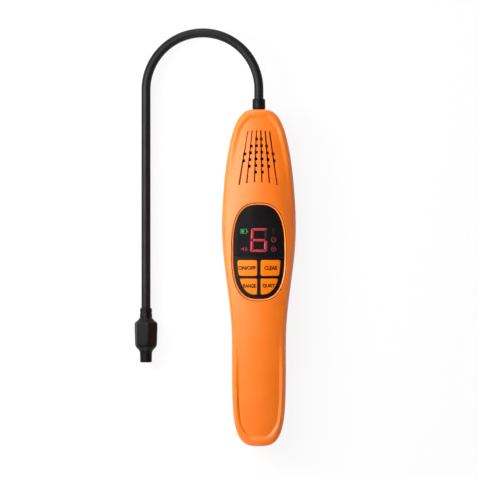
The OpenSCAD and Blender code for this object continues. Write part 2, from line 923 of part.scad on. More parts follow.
module cell_contacts() {
  color([0.78, 0.76, 0.7])
    both_sides()
      for (s = [tray_start + tray_wall, tray_end - tray_wall - contact_thickness])
        at(cell_offset - 5.2, s, cell_height - 4.8)
          cube([10.4, contact_thickness, 9.6]);
}

// Revolved piece along +Y, its profile given as [radius, distance] from the given station
module turned(x, s, z) {
  at(x, s, z)
    rotate([-90, 0, 0])
      rotate_extrude()
        children();
}

// Collar that holds the probe in the head
module probe_gland() {
  r = gland_diameter / 2;
  bore = neck_diameter / 2 + 0.02;
  color([0.09, 0.09, 0.095])
    turned(0, gland_seat, parting_height)
      polygon([[bore, -4.6], [5.4, -4.6], [5.4, -2.7], [r - 0.65, -2.7], [r - 0.65, 0], [r, 0],
        [r - 0.15, gland_length - 0.7], [r - 0.45, gland_length - 0.2], [r - 0.9, gland_length],
        [bore, gland_length]]);
}

// Route of the gooseneck: out of the gland, over the arch and back down beside the handset
module neck_route(outer, inner, start, finish) {
  at(0, 0, parting_height)
    rotate([0, -droop, 0]) {
      translate([0, start, 0])
        rotate([-90, 0, 0])
          neck_ring(outer, inner, spring_line - start);
      translate([-neck_arch_radius, spring_line, 0])
        rotate_extrude(angle = 180)
          translate([neck_arch_radius, 0])
            difference() {
              circle(d = outer);
              if (inner > 0)
                circle(d = inner);
            }
      translate([-2 * neck_arch_radius, finish, 0])
        rotate([-90, 0, 0])
          neck_ring(outer, inner, spring_line - finish);
    }
}

module neck_ring(outer, inner, h) {
  difference() {
    cylinder(d = outer, h = h);
    if (inner > 0)
      translate([0, 0, -1])
        cylinder(d = inner, h = h + 2);
  }
}

module gooseneck_sleeve() {
  color([0.11, 0.11, 0.115])
    neck_route(neck_diameter, core_diameter + 0.05, gland_seat - 4.6, tip_station - 3);
}

module gooseneck_core() {
  color([0.5, 0.5, 0.52])
    neck_route(core_diameter, lead_diameter + 0.3, gland_seat - 4.6, tip_station - 3);
}

module probe_lead() {
  color([0.3, 0.05, 0.05])
    neck_route(lead_diameter, 0, board_end, tip_station - ferrule_length - 6);
}

module lead_connector() {
  color([0.85, 0.84, 0.78])
    difference() {
      at(-5, board_end - 7.5, parting_height - 2.5)
        cube([10, 7.5, board_bottom - parting_height + 2.5]);
      at(0, board_end + 1, parting_height)
        rotate([90, 0, 0])
          cylinder(r = 0.6, h = 3);
    }
}

// The tip is turned round an axis that runs towards the tail from the end of the leg
module tip_turned() {
  at(tip_x, tip_station, tip_height)
    rotate([90, 0, 0])
      rotate_extrude($fn = 64)
        children();
}

// Neck of the tip with the spigot that carries the sensor
module probe_ferrule() {
  r = ferrule_diameter / 2;
  bore = neck_diameter / 2 + 0.02;
  color([0.13, 0.13, 0.135])
    tip_turned()
      polygon([[bore, 0], [r - 0.9, 0], [r - 0.3, 0.3], [r, 1], [r, ferrule_length],
        [spigot_radius, ferrule_length],
        [spigot_radius, ferrule_length + 6], [1.05, ferrule_length + 6], [1.05, 3], [bore, 3]]);
}

module sensor_socket() {
  color([0.75, 0.72, 0.62])
    tip_turned()
      polygon([[0, ferrule_length + 6], [spigot_radius - 0.1, ferrule_length + 6],
        [spigot_radius - 0.1, ferrule_length + 8.5], [0, ferrule_length + 8.5]]);
}

module sensor_can() {
  color([0.7, 0.7, 0.72])
    tip_turned()
      polygon([[0, ferrule_length + 8.5], [3.1, ferrule_length + 8.5], [3.1, ferrule_length + 9.2],
        [2.7, ferrule_length + 9.2], [2.7, ferrule_length + 15], [2.3, ferrule_length + 15.4],
        [0, ferrule_length + 15.4]]);
}

cap_start = ferrule_length + 0.15;
cap_length = 30.6;

// Six-sided cap with a shoulder and a nozzle
module sensor_cap() {
  r = cap_diameter / 2;
  n = nozzle_diameter / 2;
  color([0.13, 0.13, 0.135])
    difference() {
      intersection() {
        tip_turned()
          polygon([[0, cap_start], [n, cap_start], [n + 0.5, cap_start + 0.9], [n + 1.4, cap_start + 2.2],
            [r - 0.9, cap_start + 3.5], [r - 0.2, cap_start + 4.8], [r, cap_start + 6.2],
            [r - 0.05, cap_start + 8],
            [r - 0.4, cap_start + 11.5], [r - 0.6, cap_start + 17], [r - 0.75, cap_start + 18.4],
            [r - 1.4, cap_start + 20], [n + 0.6, cap_start + 22.6], [n + 0.1, cap_start + 23.8],
            [n, cap_start + 25],
            [n - 0.1, cap_start + cap_length], [0, cap_start + cap_length]]);
        at(tip_x, tip_station + 1, tip_height)
          rotate([90, -cap_turn, 0])
            cylinder(r = cap_corner, h = cap_start + cap_length + 4, $fn = 6);
      }
      tip_turned()
        polygon([[0, cap_start - 1], [spigot_radius + 0.3, cap_start - 1],
          [spigot_radius + 0.3, cap_start + 5],
          [5, cap_start + 7], [5, cap_start + 17], [2.7, cap_start + 20], [2.7, cap_start + cap_length + 1],
          [0, cap_start + cap_length + 1]]);
    }
}

module sensor_filter() {
  color([0.32, 0.31, 0.3])
    tip_turned()
      polygon([[0, cap_start + cap_length - 3], [2.69, cap_start + cap_length - 3],
        [2.69, cap_start + cap_length - 1], [0, cap_start + cap_length - 1]]);
}

front_shell();
rear_shell();
battery_cover();
key_frame();
display_window();
power_key();
reset_key();
sensitivity_key();
mute_key();
power_plunger();
reset_plunger();
sensitivity_plunger();
mute_plunger();
switch_bases();
main_board();
display_module();
digit_bars();
idle_bar();
battery_mark();
alarm_marks();
idle_mark();
buzzer();
battery_tray();
left_cell();
right_cell();
cell_springs();
cell_contacts();
case_screws();
board_screws();
tray_screws();
probe_gland();
gooseneck_sleeve();
gooseneck_core();
probe_lead();
lead_connector();
probe_ferrule();
sensor_socket();
sensor_can();
sensor_cap();
sensor_filter();
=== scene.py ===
# %% [markdown]
# # A refrigerant leak detector
# The object is a hand-held tester: an orange handset made of two shells, a black oval panel with a lit
# display and four keys, and a black gooseneck probe with a six-sided sensor cap. The solids come from the
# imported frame, and this lesson lays finer surfaces over them. Each surface is a numpy grid worked out from
# a formula, so one changed number moves the whole piece.

import bmesh
import bpy
import numpy as np
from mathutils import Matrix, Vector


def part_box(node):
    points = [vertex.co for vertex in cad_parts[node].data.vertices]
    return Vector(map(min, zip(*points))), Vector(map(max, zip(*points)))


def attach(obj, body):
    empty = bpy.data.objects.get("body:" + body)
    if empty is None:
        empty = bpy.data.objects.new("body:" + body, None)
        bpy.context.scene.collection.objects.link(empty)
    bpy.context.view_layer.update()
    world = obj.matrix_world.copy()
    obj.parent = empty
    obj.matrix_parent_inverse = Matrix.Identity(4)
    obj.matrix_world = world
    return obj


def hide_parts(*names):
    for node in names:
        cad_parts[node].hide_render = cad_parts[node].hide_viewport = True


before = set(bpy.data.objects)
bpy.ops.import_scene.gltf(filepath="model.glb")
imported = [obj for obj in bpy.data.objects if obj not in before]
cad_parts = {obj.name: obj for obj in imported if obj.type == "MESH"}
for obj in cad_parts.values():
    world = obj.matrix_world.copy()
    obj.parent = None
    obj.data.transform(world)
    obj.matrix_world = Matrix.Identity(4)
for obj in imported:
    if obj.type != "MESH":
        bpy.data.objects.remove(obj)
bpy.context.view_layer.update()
MM = 0.001
print("nodes in the frame:", len(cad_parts))

# %% [markdown]
# ## The camera
# The photograph looks straight down on the face with the head at the top, and the handset's sides look
# parallel. An orthographic camera would show that too, but a long lens from far away keeps the slight view
# into the panel's depth. A camera with no rotation already looks down with +Y at the top, and its distance
# is the width that the picture shows, times the lens length, over the sensor width.

# %% Camera
IMAGE_SIDE = 478  # pixels
MM_PER_PIXEL = 0.685
VIEW_CENTRE = (-13.6, 26.4)  # the point under the middle of the picture
VIEW_HEIGHT = 16  # where that scale holds
LENS, SENSOR = 200, 36


def added(name, data):
    """A new object that holds the data, linked to the scene."""
    thing = bpy.data.objects.new(name, data)
    bpy.context.scene.collection.objects.link(thing)
    return thing


camera_data = bpy.data.cameras.new("camera")
camera_data.lens, camera_data.sensor_width = LENS, SENSOR
camera = added("camera", camera_data)
camera_distance = IMAGE_SIDE * MM_PER_PIXEL * LENS / SENSOR
camera.location = np.array([*VIEW_CENTRE, VIEW_HEIGHT + camera_distance]) * MM
bpy.context.scene.camera = camera
bpy.context.scene.view_settings.view_transform = "Standard"
print("camera distance in mm:", round(camera_distance))

# %% [markdown]
# ## Light
# The light comes from the left: the crown is pale on that side, and the right flank is dark. A single lamp
# could do this, but then the slopes inside the rim would stay dull. So six square lamps share the work: a
# key and a higher lamp on the left, one from above, one beyond each end of the handset for the slopes that
# face it, and a low one on the right for the thin bright line along that edge.

# %% Lamps
def soft_lamp(name, direction, distance, side, watts):
    """A square lamp at the given distance along a direction, facing the handset."""
    data = bpy.data.lights.new(name, "AREA")
    data.size, data.energy = side, watts
    lamp = added(name, data)
    lamp.location = np.array(direction) / np.linalg.norm(direction) * distance
    lamp.rotation_mode = "QUATERNION"
    lamp.rotation_quaternion = lamp.location.to_track_quat("Z", "Y")


soft_lamp("key_lamp", (-0.36, 0.1, 0.29), 0.473, 0.2, 1.9)
soft_lamp("high_lamp", (-0.5, 0.3, 0.87), 0.7, 0.25, 1.6)
soft_lamp("top_lamp", (-0.3, 0.17, 1.0), 2.1, 0.5, 8.5)
soft_lamp("head_lamp", (-0.2, 1.0, 0.4), 0.9, 0.4, 4.4)
soft_lamp("tail_lamp", (-0.2, -1.0, 0.4), 0.9, 0.4, 3.2)
soft_lamp("edge_lamp", (1.0, -0.1, 0.18), 0.9, 0.3, 1.3)

# %% [markdown]
# ## Floor and background
# The object lies on a white table. A floor that is lit to pure white would take so much light that the
# orange burns out. So most of the floor's white is its own glow, which camera, glossy and transmission rays
# see and which lights nothing matt, and the rest is plain diffuse paint that keeps a soft shadow. The world
# stays nearly dark, so that the lamps alone model the shape.

# %% Floor paint
FLOOR_GLOW = 0.9  # share of the floor's look that is its own white
FLOOR_WHITE = (0.9, 0.9, 0.9, 1)  # its paint


def set_sockets(node, **values):
    """Puts each value on the node's socket of that name, where _ stands for a space."""
    for socket, value in values.items():
        node.inputs[socket.replace("_", " ")].default_value = value


floor_paint = bpy.data.materials.new("floor_paint")
floor_paint.use_nodes = True
nodes, links = floor_paint.node_tree.nodes, floor_paint.node_tree.links
nodes.clear()
paint = nodes.new("ShaderNodeBsdfDiffuse")
set_sockets(paint, Color=FLOOR_WHITE)
glow = nodes.new("ShaderNodeEmission")
blend = nodes.new("ShaderNodeMixShader")
output = nodes.new("ShaderNodeOutputMaterial")
path = nodes.new("ShaderNodeLightPath")
seen = path.outputs["Is Camera Ray"]
for kind in ("Is Glossy Ray", "Is Transmission Ray"):
    either = nodes.new("ShaderNodeMath")
    either.operation = "MAXIMUM"
    links.new(seen, either.inputs[0])
    links.new(path.outputs[kind], either.inputs[1])
    seen = either.outputs[0]
share = nodes.new("ShaderNodeMath")
share.operation = "MULTIPLY"
share.inputs[1].default_value = FLOOR_GLOW
links.new(seen, share.inputs[0])
links.new(share.outputs[0], blend.inputs["Fac"])
links.new(paint.outputs[0], blend.inputs[1])
links.new(glow.outputs[0], blend.inputs[2])
links.new(blend.outputs[0], output.inputs["Surface"])
print("floor glow:", FLOOR_GLOW, "nodes:", len(nodes))

# %% Floor and world
FLOOR_HALF = 6.0  # metres
WORLD_LIGHT = 0.03

floor_mesh = bpy.data.meshes.new("floor")
corners = np.array([[-1, -1, 0], [1, -1, 0], [1, 1, 0], [-1, 1, 0]]) * FLOOR_HALF
floor_mesh.from_pydata(corners.tolist(), [], [(0, 1, 2, 3)])
floor_mesh.materials.append(floor_paint)
floor = added("floor", floor_mesh)

world = bpy.data.worlds.new("studio")
bpy.context.scene.world = world
world.use_nodes = True
set_sockets(world.node_tree.nodes["Background"], Color=(1, 1, 1, 1), Strength=WORLD_LIGHT)
print("floor side in metres:", 2 * FLOOR_HALF, "world light:", WORLD_LIGHT)

# %% [markdown]
# ## Finishes
# Moulded plastic has a faint mottle from the flow of the melt, a fine spark texture from the mould and
# patches that are a little glossier than others. A picture could hold all three, but a piece has to be
# unwrapped for it. Noise on Object coordinates, which are metres here, needs no unwrapping. One function
# makes all the plastics, each with its own colour and grain.

# %% Noise
NOISE_LOW, NOISE_HIGH = 0.3, 0.7  # most of a noise lies between these


def linear(code):
    """Linear colour of a six-figure sRGB code."""
    value = np.array([int(code[i : i + 2], 16) for i in (0, 2, 4)]) / 255
    return (*np.where(value < 0.04045, value / 12.92, ((value + 0.055) / 1.055) ** 2.4), 1.0)


def noise_on_object(nodes, links, grain, detail=3.0):
    """Noise whose lumps are about one grain across, in mm, on Object coordinates."""
    place = nodes.new("ShaderNodeTexCoord")
    noise = nodes.new("ShaderNodeTexNoise")
    set_sockets(noise, Scale=1 / (grain * MM), Detail=detail)
    links.new(place.outputs["Object"], noise.inputs["Vector"])
    return noise.outputs["Fac"]


def between(nodes, links, value, low, high):
    """Stretches a noise value to run from low to high."""
    stretch = nodes.new("ShaderNodeMapRange")
    set_sockets(stretch, From_Min=NOISE_LOW, From_Max=NOISE_HIGH, To_Min=low, To_Max=high)
    links.new(value, stretch.inputs["Value"])
    return stretch.outputs[0]


print("middle grey in linear light:", round(linear("808080")[0], 3))

# %% Plastic
PATCH = 2.6  # patches of gloss are this much larger than the mottle
BUMP = 0.6  # strength of the grain


def plastic(name, light, dark, gloss, specular=0.5, mottle=14.0, grain=0.35, relief=0.004, **sockets):
    """Colour wanders between light and dark in lumps of the mottle's size, roughness runs over the gloss
    range in larger lumps, and a fine grain of the given relief, in mm, bends the normal."""
    material = bpy.data.materials.new(name)
    material.use_nodes = True
    nodes, links = material.node_tree.nodes, material.node_tree.links
    shader = nodes["Principled BSDF"]
    set_sockets(shader, Specular_IOR_Level=specular, **sockets)
    colour = nodes.new("ShaderNodeMix")
    colour.data_type = "RGBA"
    colour.inputs[6].default_value = linear(light)
    colour.inputs[7].default_value = linear(dark)
    links.new(between(nodes, links, noise_on_object(nodes, links, mottle), 0, 1), colour.inputs[0])
    links.new(colour.outputs[2], shader.inputs["Base Color"])
    rough = between(nodes, links, noise_on_object(nodes, links, PATCH * mottle), *gloss)
    links.new(rough, shader.inputs["Roughness"])
    bump = nodes.new("ShaderNodeBump")
    set_sockets(bump, Strength=BUMP, Distance=relief * MM)
    links.new(noise_on_object(nodes, links, grain, 2.0), bump.inputs["Height"])
    links.new(bump.outputs[0], shader.inputs["Normal"])
    return material


shell_orange = plastic("shell_orange", "f07614", "ec700c", (0.42, 0.5), 0.5)
# The bead's orange is lighter than the shell's as a painted highlight; its lower roughness catches the lamps
# for real.
bead_highlight_orange = plastic("bead_highlight_orange", "ff8a2e", "fa8226", (0.22, 0.28), 0.6, mottle=4)
cover_orange = plastic("cover_orange", "f27918", "ee7310", (0.38, 0.48), 0.35)
key_orange = plastic("key_orange", "f47c0a", "f07504", (0.36, 0.44), 0.14, mottle=5)
panel_black = plastic("panel_black", "1b1919", "151414", (0.35, 0.45), 0.08, mottle=6)
window_black = plastic("window_black", "1a1819", "151415", (0.2, 0.26), 0.03, mottle=9, relief=0.001)
sleeve_black = plastic("sleeve_black", "1b1a1c", "171618", (0.42, 0.5), 0.15, mottle=7, grain=0.5)
tip_black = plastic("tip_black", "141214", "100e10", (0.38, 0.46), 0.11, mottle=4, grain=0.3)
gland_black = plastic("gland_black", "141315", "100f11", (0.36, 0.46), 0.08, mottle=3, grain=0.25)
part_black = plastic("part_black", "0e0e0f", "0a0a0b", (0.5, 0.6), 0.04, mottle=3)
socket_grey = plastic("socket_grey", "2e2d2b", "262523", (0.4, 0.5), 0.1, mottle=3)
# Painted shade: a dark brown put where only shade falls, inside the front shell, in the gaps round the panel
# and along the grooves' left feet.
shade_brown = plastic("shade_brown", "4a2008", "3c1905", (0.6, 0.7), 0.05, mottle=1)
ink_brown = plastic("ink_brown", "421a05", "381403", (0.5, 0.6), 0.1, mottle=1)
unlit_grey = plastic("unlit_grey", "2f2b2b", "292626", (0.4, 0.5), 0.04, mottle=1)
print("finishes so far:", len(bpy.data.materials))

# %% [markdown]
# ## Signs and inner parts
# The signs of the display are dyed plastic with a light behind them. Strong emission would burn them out to
# white, so they have a weak glow in their own mottled colour, which still looks lit against the black. The
# metal, the felt and the circuit board inside are made by the same function with other colours and grain.

# %% Signs, metal, felt and board
def lit_sign(name, light, dark, glow):
    """Dyed plastic that shines: the colour wanders between light and dark, and shines by the glow."""
    material = plastic(name, light, dark, (0.3, 0.45), 0.3, mottle=1.4)
    nodes, links = material.node_tree.nodes, material.node_tree.links
    shader = nodes["Principled BSDF"]
    links.new(shader.inputs["Base Color"].links[0].from_socket, shader.inputs["Emission Color"])
    set_sockets(shader, Emission_Strength=glow)
    return material


lit_red = lit_sign("lit_red", "b02436", "9a1c2c", 0.25)
dim_red = lit_sign("dim_red", "8e2233", "7c1b2a", 0.15)
lit_green = lit_sign("lit_green", "3f8f48", "33793a", 0.3)
steel = plastic("steel", "c9c9cc", "b9babd", (0.22, 0.38), mottle=2, grain=0.15, Metallic=1.0)
cell_jacket = plastic("cell_jacket", "b9bcc2", "a8abb2", (0.25, 0.35), mottle=8, Metallic=0.7)
filter_felt = plastic(
    "filter_felt", "57544f", "45423e", (0.85, 0.95), 0.1, mottle=0.6, grain=0.2, relief=0.08
)
board_green = plastic("board_green", "0f3a22", "0b2d1a", (0.25, 0.4), mottle=2.5)
lead_red = plastic("lead_red", "7a1a1a", "661313", (0.4, 0.5), mottle=2)
print("finishes:", len(bpy.data.materials))

# %% [markdown]
# ## Turning grids into pieces
# Blender's tools could shape each piece by hand, but then one changed size would mean doing it all again.
# Here every piece is made the same way: a grid of points in millimetres becomes a mesh in metres, points
# that meet at seams and poles are merged, the faces are turned outwards, and the piece is set on the body
# that it moves with. Edges that bend more than a set angle stay sharp, and all others are shaded smooth.

# %% Grid helpers
def grid_faces(rows, columns, wrap=False):
    """Quads of a grid of points numbered row by row; wrap joins the last column to the first."""
    row = np.arange(rows - 1)[:, None] * columns
    column = np.arange(columns if wrap else columns - 1)[None, :]
    after = (column + 1) % columns
    return np.stack([row + column, row + after, row + columns + after, row + columns + column], axis=-1)


def joined(*grids):
    """Several lists of points and faces as one, the faces' numbers moved on past the points before."""
    starts = np.cumsum([0] + [len(points) for points, _ in grids[:-1]])
    points = np.concatenate([points for points, _ in grids])
    faces = np.concatenate([faces.reshape(-1, 4) + start for (_, faces), start in zip(grids, starts)])
    return points, faces


def mirrored(points, faces):
    """The grid and its mirror image across x = 0, with the image's faces turned round."""
    return joined((points, faces), (points * [-1, 1, 1], faces.reshape(-1, 4)[:, ::-1]))


print("quads in a grid of 3 by 4 points:", grid_faces(3, 4).size // 4)

# %% Meshes
MERGE = 0.002  # points nearer than this become one
EMPTY = 1e-7  # edges shorter than this, in metres, are empty


def shaded(mesh, angle):
    """Smooth shading, with edges sharper than the angle, in degrees, left sharp."""
    mesh.polygons.foreach_set("use_smooth", np.ones(len(mesh.polygons), bool))
    mesh.set_sharp_from_angle(angle=np.radians(angle))


def solid_mesh(name, points, faces):
    """A mesh from points in mm: points that meet become one, empty faces go, and all faces turn outwards."""
    mesh = bpy.data.meshes.new(name)
    mesh.from_pydata((points * MM).tolist(), [], faces.reshape(-1, faces.shape[-1]).tolist())
    work = bmesh.new()
    work.from_mesh(mesh)
    bmesh.ops.remove_doubles(work, verts=work.verts, dist=MERGE * MM)
    bmesh.ops.dissolve_degenerate(work, edges=work.edges, dist=EMPTY)
    bmesh.ops.recalc_face_normals(work, faces=work.faces)
    work.to_mesh(mesh)
    work.free()
    return mesh


print("points nearer than", MERGE, "mm become one")


# %% Pieces
def baked(piece):
    """Gives a piece the mesh that its modifiers make."""
    made = piece.evaluated_get(bpy.context.evaluated_depsgraph_get())
    piece.data = bpy.data.meshes.new_from_object(made)
    piece.modifiers.clear()


def new_piece(name, points, faces, finish, body, replaced, slot, wall=0, angle=38, cutters=(), shade_lining=None):
    """A finished piece: its mesh, a wall grown inwards if asked, holes cut, shading, body and finish. A shade
    lining is a painted shade given to the wall's inside."""
    piece = added(name, solid_mesh(name, points, faces))
    piece.data.materials.append(finish)
    if wall:
        grow = piece.modifiers.new("wall", "SOLIDIFY")
        grow.thickness, grow.offset = wall * MM, -1
        if shade_lining:
            piece.data.materials.append(shade_lining)
            grow.material_offset = grow.material_offset_rim = 1
    for cutter in cutters:
        cut = piece.modifiers.new("cut", "BOOLEAN")
        cut.operation, cut.solver, cut.object = "DIFFERENCE", "EXACT", cutter
    if piece.modifiers:
        baked(piece)
    shaded(piece.data, angle)
    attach(piece, body)
    if replaced:
        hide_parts(*replaced)
    print(name, "points:", len(piece.data.vertices), "faces:", len(piece.data.polygons))
    return piece


# %% [markdown]
# ## The shape of the handset
# Seen from the front, the handset is a slim grip that swells towards the panel and tapers to a blunt
# head. Its half width is a smooth step from grip to panel, times a round-off at each end. The front is a
# crown of one radius across, flat under the panel and falling away towards both ends. A rounded edge drops
# from it to the plane where the shells meet, and a low rim stands up along that edge at the tail and the
# head, which is the frame-like step that catches the light. A loft through drawn sections could give this
# form. Formulas were chosen because every grid below can ask them for a height. They are those of the
# solids, with a fuller edge and a straight slope inside the rim, which draws a crisper line.

# %% Handset outline
LENGTH = -2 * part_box("battery_cover")[0].y / MM
GRIP_WIDTH, BODY_WIDTH, PANEL_STATION = 37, 50.6, 132.6
SWELL_END, SWELL_LENGTH = PANEL_STATION + 18, 80
TAIL_REACH, HEAD_REACH = 80, 79
TAIL_POWERS, HEAD_POWERS = (5.8, 3.2), (1.61, 3.49)  # of the round-off at each end


def clamped(t):
    """The value kept between 0 and 1."""
    return np.clip(t, 0.0, 1.0)


def ease(t):
    """Half a cosine wave from 0 to 1 as t goes from 0 to 1."""
    return (1 - np.cos(np.pi * clamped(t))) / 2


def taper(t, reach, n, m):
    """Rounds an end off: one less the n-th power of the share still to go, to the power 1/m."""
    return (1 - (1 - clamped(t / reach)) ** n) ** (1 / m)


def half_width(s):
    """Grip plus eased swell, times the round-off of the tail and of the head."""
    swell = ease((s - SWELL_END + SWELL_LENGTH) / SWELL_LENGTH)
    width = GRIP_WIDTH / 2 + (BODY_WIDTH - GRIP_WIDTH) / 2 * swell
    return width * taper(s, TAIL_REACH, *TAIL_POWERS) * taper(LENGTH - s, HEAD_REACH, *HEAD_POWERS)


print("handset length:", round(LENGTH, 2), "greatest half width:", round(half_width(SWELL_END), 2))

# %% Heights of the front
BODY_HEIGHT, PARTING, CROWN_RADIUS = 34, 16, 46
CROWN_FLAT, TAIL_ARCH, HEAD_ARCH = 20, 960, 400
EDGE_WIDTH, EDGE_POWER, RIM_SLOPE = 3.4, 4.2, 1.8
TAIL_RIM, HEAD_RIM = 1.4, 1.1
TAIL_FADE_FROM, TAIL_FADE = 25, 62  # the tail's rim fades from this station, over this length
HEAD_RISE_FROM, HEAD_RISE = LENGTH - 66, 58  # and the head's rim rises
RIM_START = 0.85 * EDGE_WIDTH


def dome(x, s):
    """Height of the crown: a circle across, and along it a parabola past the flat stretch."""
    past = np.maximum(np.abs(s - PANEL_STATION) - CROWN_FLAT, 0)
    fall = past**2 / (2 * np.where(s < PANEL_STATION, TAIL_ARCH, HEAD_ARCH))
    return BODY_HEIGHT - fall - CROWN_RADIUS + np.sqrt(CROWN_RADIUS**2 - x**2)


def front_height(x, s, d):
    """Crown plus a rim with a straight slope inside it, brought down to the parting plane over the edge's
    width by a quarter of a superellipse; d is the distance from the outline."""
    edge = (1 - (1 - clamped(d / EDGE_WIDTH)) ** EDGE_POWER) ** (1 / EDGE_POWER)
    tail_rim = TAIL_RIM * (1 - ease((s - TAIL_FADE_FROM) / TAIL_FADE))
    head_rim = HEAD_RIM * ease((s - HEAD_RISE_FROM) / HEAD_RISE)
    rim = (tail_rim + head_rim) * (1 - clamped((d - RIM_START) / RIM_SLOPE))
    return PARTING + edge * (dome(x, s) + rim - PARTING)


def placed(x, s, z):
    """Points in mm from arrays of x, station s along the handset and height."""
    x, s, z = np.broadcast_arrays(x, s, z)
    return np.stack([x, s - LENGTH / 2, z], axis=-1).reshape(-1, 3)


def sheet(x, s, z):
    """Points and quads of a grid from its x, stations and heights."""
    return placed(x, s, z), grid_faces(*x.shape)


print("height of the crown over the panel:", round(dome(0.0, PANEL_STATION), 2))

# %% [markdown]
# ## Rays from the outline inwards
# The grid of the front is made of rays. Each starts on the outline and runs inwards: to a pole near each
# end, to the spine along the grip, and to the edge of the oval opening beside the panel. A boolean could
# cut the opening, but it would leave long thin faces that shade badly, and here the opening's edge is a
# line of the grid. Near the two tips of the oval its edge lies along the rays, and a small shift that dies
# away on both sides fans the rays out there.

# %% Rays
TAIL_POLE, HEAD_POLE = 16, LENGTH - 14
PANEL_HALF_WIDTH, PANEL_HALF_LENGTH, OVAL_POWER = 17.2, 31.8, 2.75
LEDGE = 1.95  # width of the step round the panel
FINE_STEPS = 4000  # along a curve that is measured


def oval(angle, grow):
    """Superellipse of the panel: half width times cosine and half length times sine, both to the power
    2/2.75, with both halves grown by the same amount."""
    c, q = np.cos(angle), np.sin(angle)
    x = (PANEL_HALF_WIDTH + grow) * np.sign(c) * np.abs(c) ** (2 / OVAL_POWER)
    s = (PANEL_HALF_LENGTH + grow) * np.sign(q) * np.abs(q) ** (2 / OVAL_POWER)
    return x, PANEL_STATION + s


def run_along(x, s):
    """Distance run along a line of points up to each of them."""
    return np.concatenate([[0], np.cumsum(np.hypot(np.diff(x), np.diff(s)))])


def even_angles(count, grow):
    """Angles from -90 to 90 degrees whose points lie equally far apart along the oval."""
    angle = np.linspace(-np.pi / 2, np.pi / 2, FINE_STEPS + 1)
    run = run_along(*oval(angle, grow))
    return np.interp(np.linspace(0, run[-1], count), run, angle)


def fan(pole, side, count):
    """Points of the outline at equal angles round a pole, from the end's tip to straight sideways."""
    s = LENGTH * (1 - np.cos(np.linspace(0, np.pi, 2 * FINE_STEPS + 1))) / 2
    s = s[(s - pole) * side >= 0]
    x = half_width(s)
    angle = np.arctan2(x, np.abs(s - pole))
    order = np.argsort(angle)
    wanted = np.linspace(0, np.pi / 2, count)
    return np.interp(wanted, angle[order], x[order]), np.interp(wanted, angle[order], s[order])


SPREAD, SPREAD_WIDTH = 0.9, 6


def spread(run):
    """A shift that pushes rays apart about run = 0 and dies away: a share of the run times a bell."""
    return SPREAD * run * np.exp(-((run / SPREAD_WIDTH) ** 2) / 2)


print("oval opening:", 2 * (PANEL_HALF_WIDTH + LEDGE), "by", 2 * (PANEL_HALF_LENGTH + LEDGE))

# %% [markdown]
# ## The vents
# Six shallow grooves fan down from the head, and small square holes in them let the sounder speak. Cutting
# them out of a smooth shell would leave slivers round each hole. So the grid's lines run along the sides of
# the grooves and of the holes here: a groove is a set of lines pushed down, and a hole is a set of quads
# left out. The rows step down from groove to groove, so that each hole keeps a level edge.

# %% Vent lines
VENT_LOW, VENT_HIGH = 179.9, 215.4
VENT_APEX, VENT_PITCH, VENT_WIDTH = VENT_LOW + 87, 5.1, 2.2
FAN_REACH = VENT_APEX - VENT_LOW
GROOVES = 3  # on each side
WALL_SLOPE = 0.1  # how far a groove's wall leans in
BRINK = 0.04  # a groove's top edge lies this far outside its width


def with_lands(grooves):
    """The lines of each groove from the outermost in, two more that divide the land after it in three, and
    last the spine at 0."""
    start = grooves[..., -1]
    end = np.concatenate([grooves[..., 1:, 0], 0 * start[..., :1]], axis=-1)
    lands = start[..., None] + (end - start)[..., None] * np.array([1 / 3, 2 / 3])
    lines = np.concatenate([grooves, lands], axis=-1).reshape(*grooves.shape[:-2], -1)
    return np.concatenate([lines, 0 * start[..., :1]], axis=-1)


groove_middles = (np.arange(GROOVES)[::-1] + 0.5) * VENT_PITCH / FAN_REACH
brink, foot = (VENT_WIDTH / 2 + BRINK) / FAN_REACH, (VENT_WIDTH / 2 - WALL_SLOPE) / FAN_REACH
groove_lines = groove_middles[:, None] + np.array([brink, foot, 0, -foot, -brink])
fan_lines = with_lands(groove_lines)
groove_pattern = [0, 1, 1, 1, 0, 0, 0]  # five lines of a groove and two of a land, 1 where sunk
sunk = np.append(np.tile(groove_pattern, GROOVES), 0)
bow_lines = np.interp(
    -fan_lines,
    -np.append(groove_lines[:, [0, -1]].reshape(-1), 0),
    np.append(np.repeat(groove_middles, 2), 0),
)
print("lines across the fan:", len(fan_lines))

# %% Vent rows
VENT_MIDDLE, HOLE_SIDE, HOLE_PITCH = VENT_LOW + 18.2, 1.95, 4.5
HALF_ROWS = 5  # rows of holes above and below the middle
HOLE_RIM, HOLE_SLACK = 0.08, 0.01  # from a hole's edge to the next row, and how near a row counts as on it
ROW_CLEAR, END_STEP = 0.4, 0.05  # from a groove's end to the nearest row inside it and outside it

hole_rows = (np.arange(-HALF_ROWS, HALF_ROWS) + 0.5)[:, None] * HOLE_PITCH + VENT_MIDDLE
in_hole = np.linspace(-HOLE_SIDE / 2, HOLE_SIDE / 2, 5)
past_hole = np.linspace(HOLE_SIDE / 2 + HOLE_RIM, HOLE_PITCH - HOLE_SIDE / 2 - HOLE_RIM, 6)
vent_rows = (hole_rows + np.concatenate([in_hole, past_hole])).reshape(-1)
vent_rows = vent_rows[(vent_rows > VENT_LOW + ROW_CLEAR) & (vent_rows < VENT_HIGH - ROW_CLEAR)]
vent_rows = np.concatenate([
    [VENT_LOW - END_STEP, VENT_LOW + WALL_SLOPE],
    vent_rows,
    [VENT_HIGH - WALL_SLOPE, VENT_HIGH + END_STEP],
])


def over_hole(s):
    """Whether a row at s crosses a hole, for each groove from the outermost in."""
    step = (s - VENT_MIDDLE) / HOLE_PITCH - 0.5
    row = np.round(step)
    near = np.abs(step - row) * HOLE_PITCH < HOLE_SIDE / 2 + HOLE_SLACK
    return near[:, None] & (np.abs(row + 0.5)[:, None] < np.arange(GROOVES) + 1)


print("rows along the fan:", len(vent_rows))

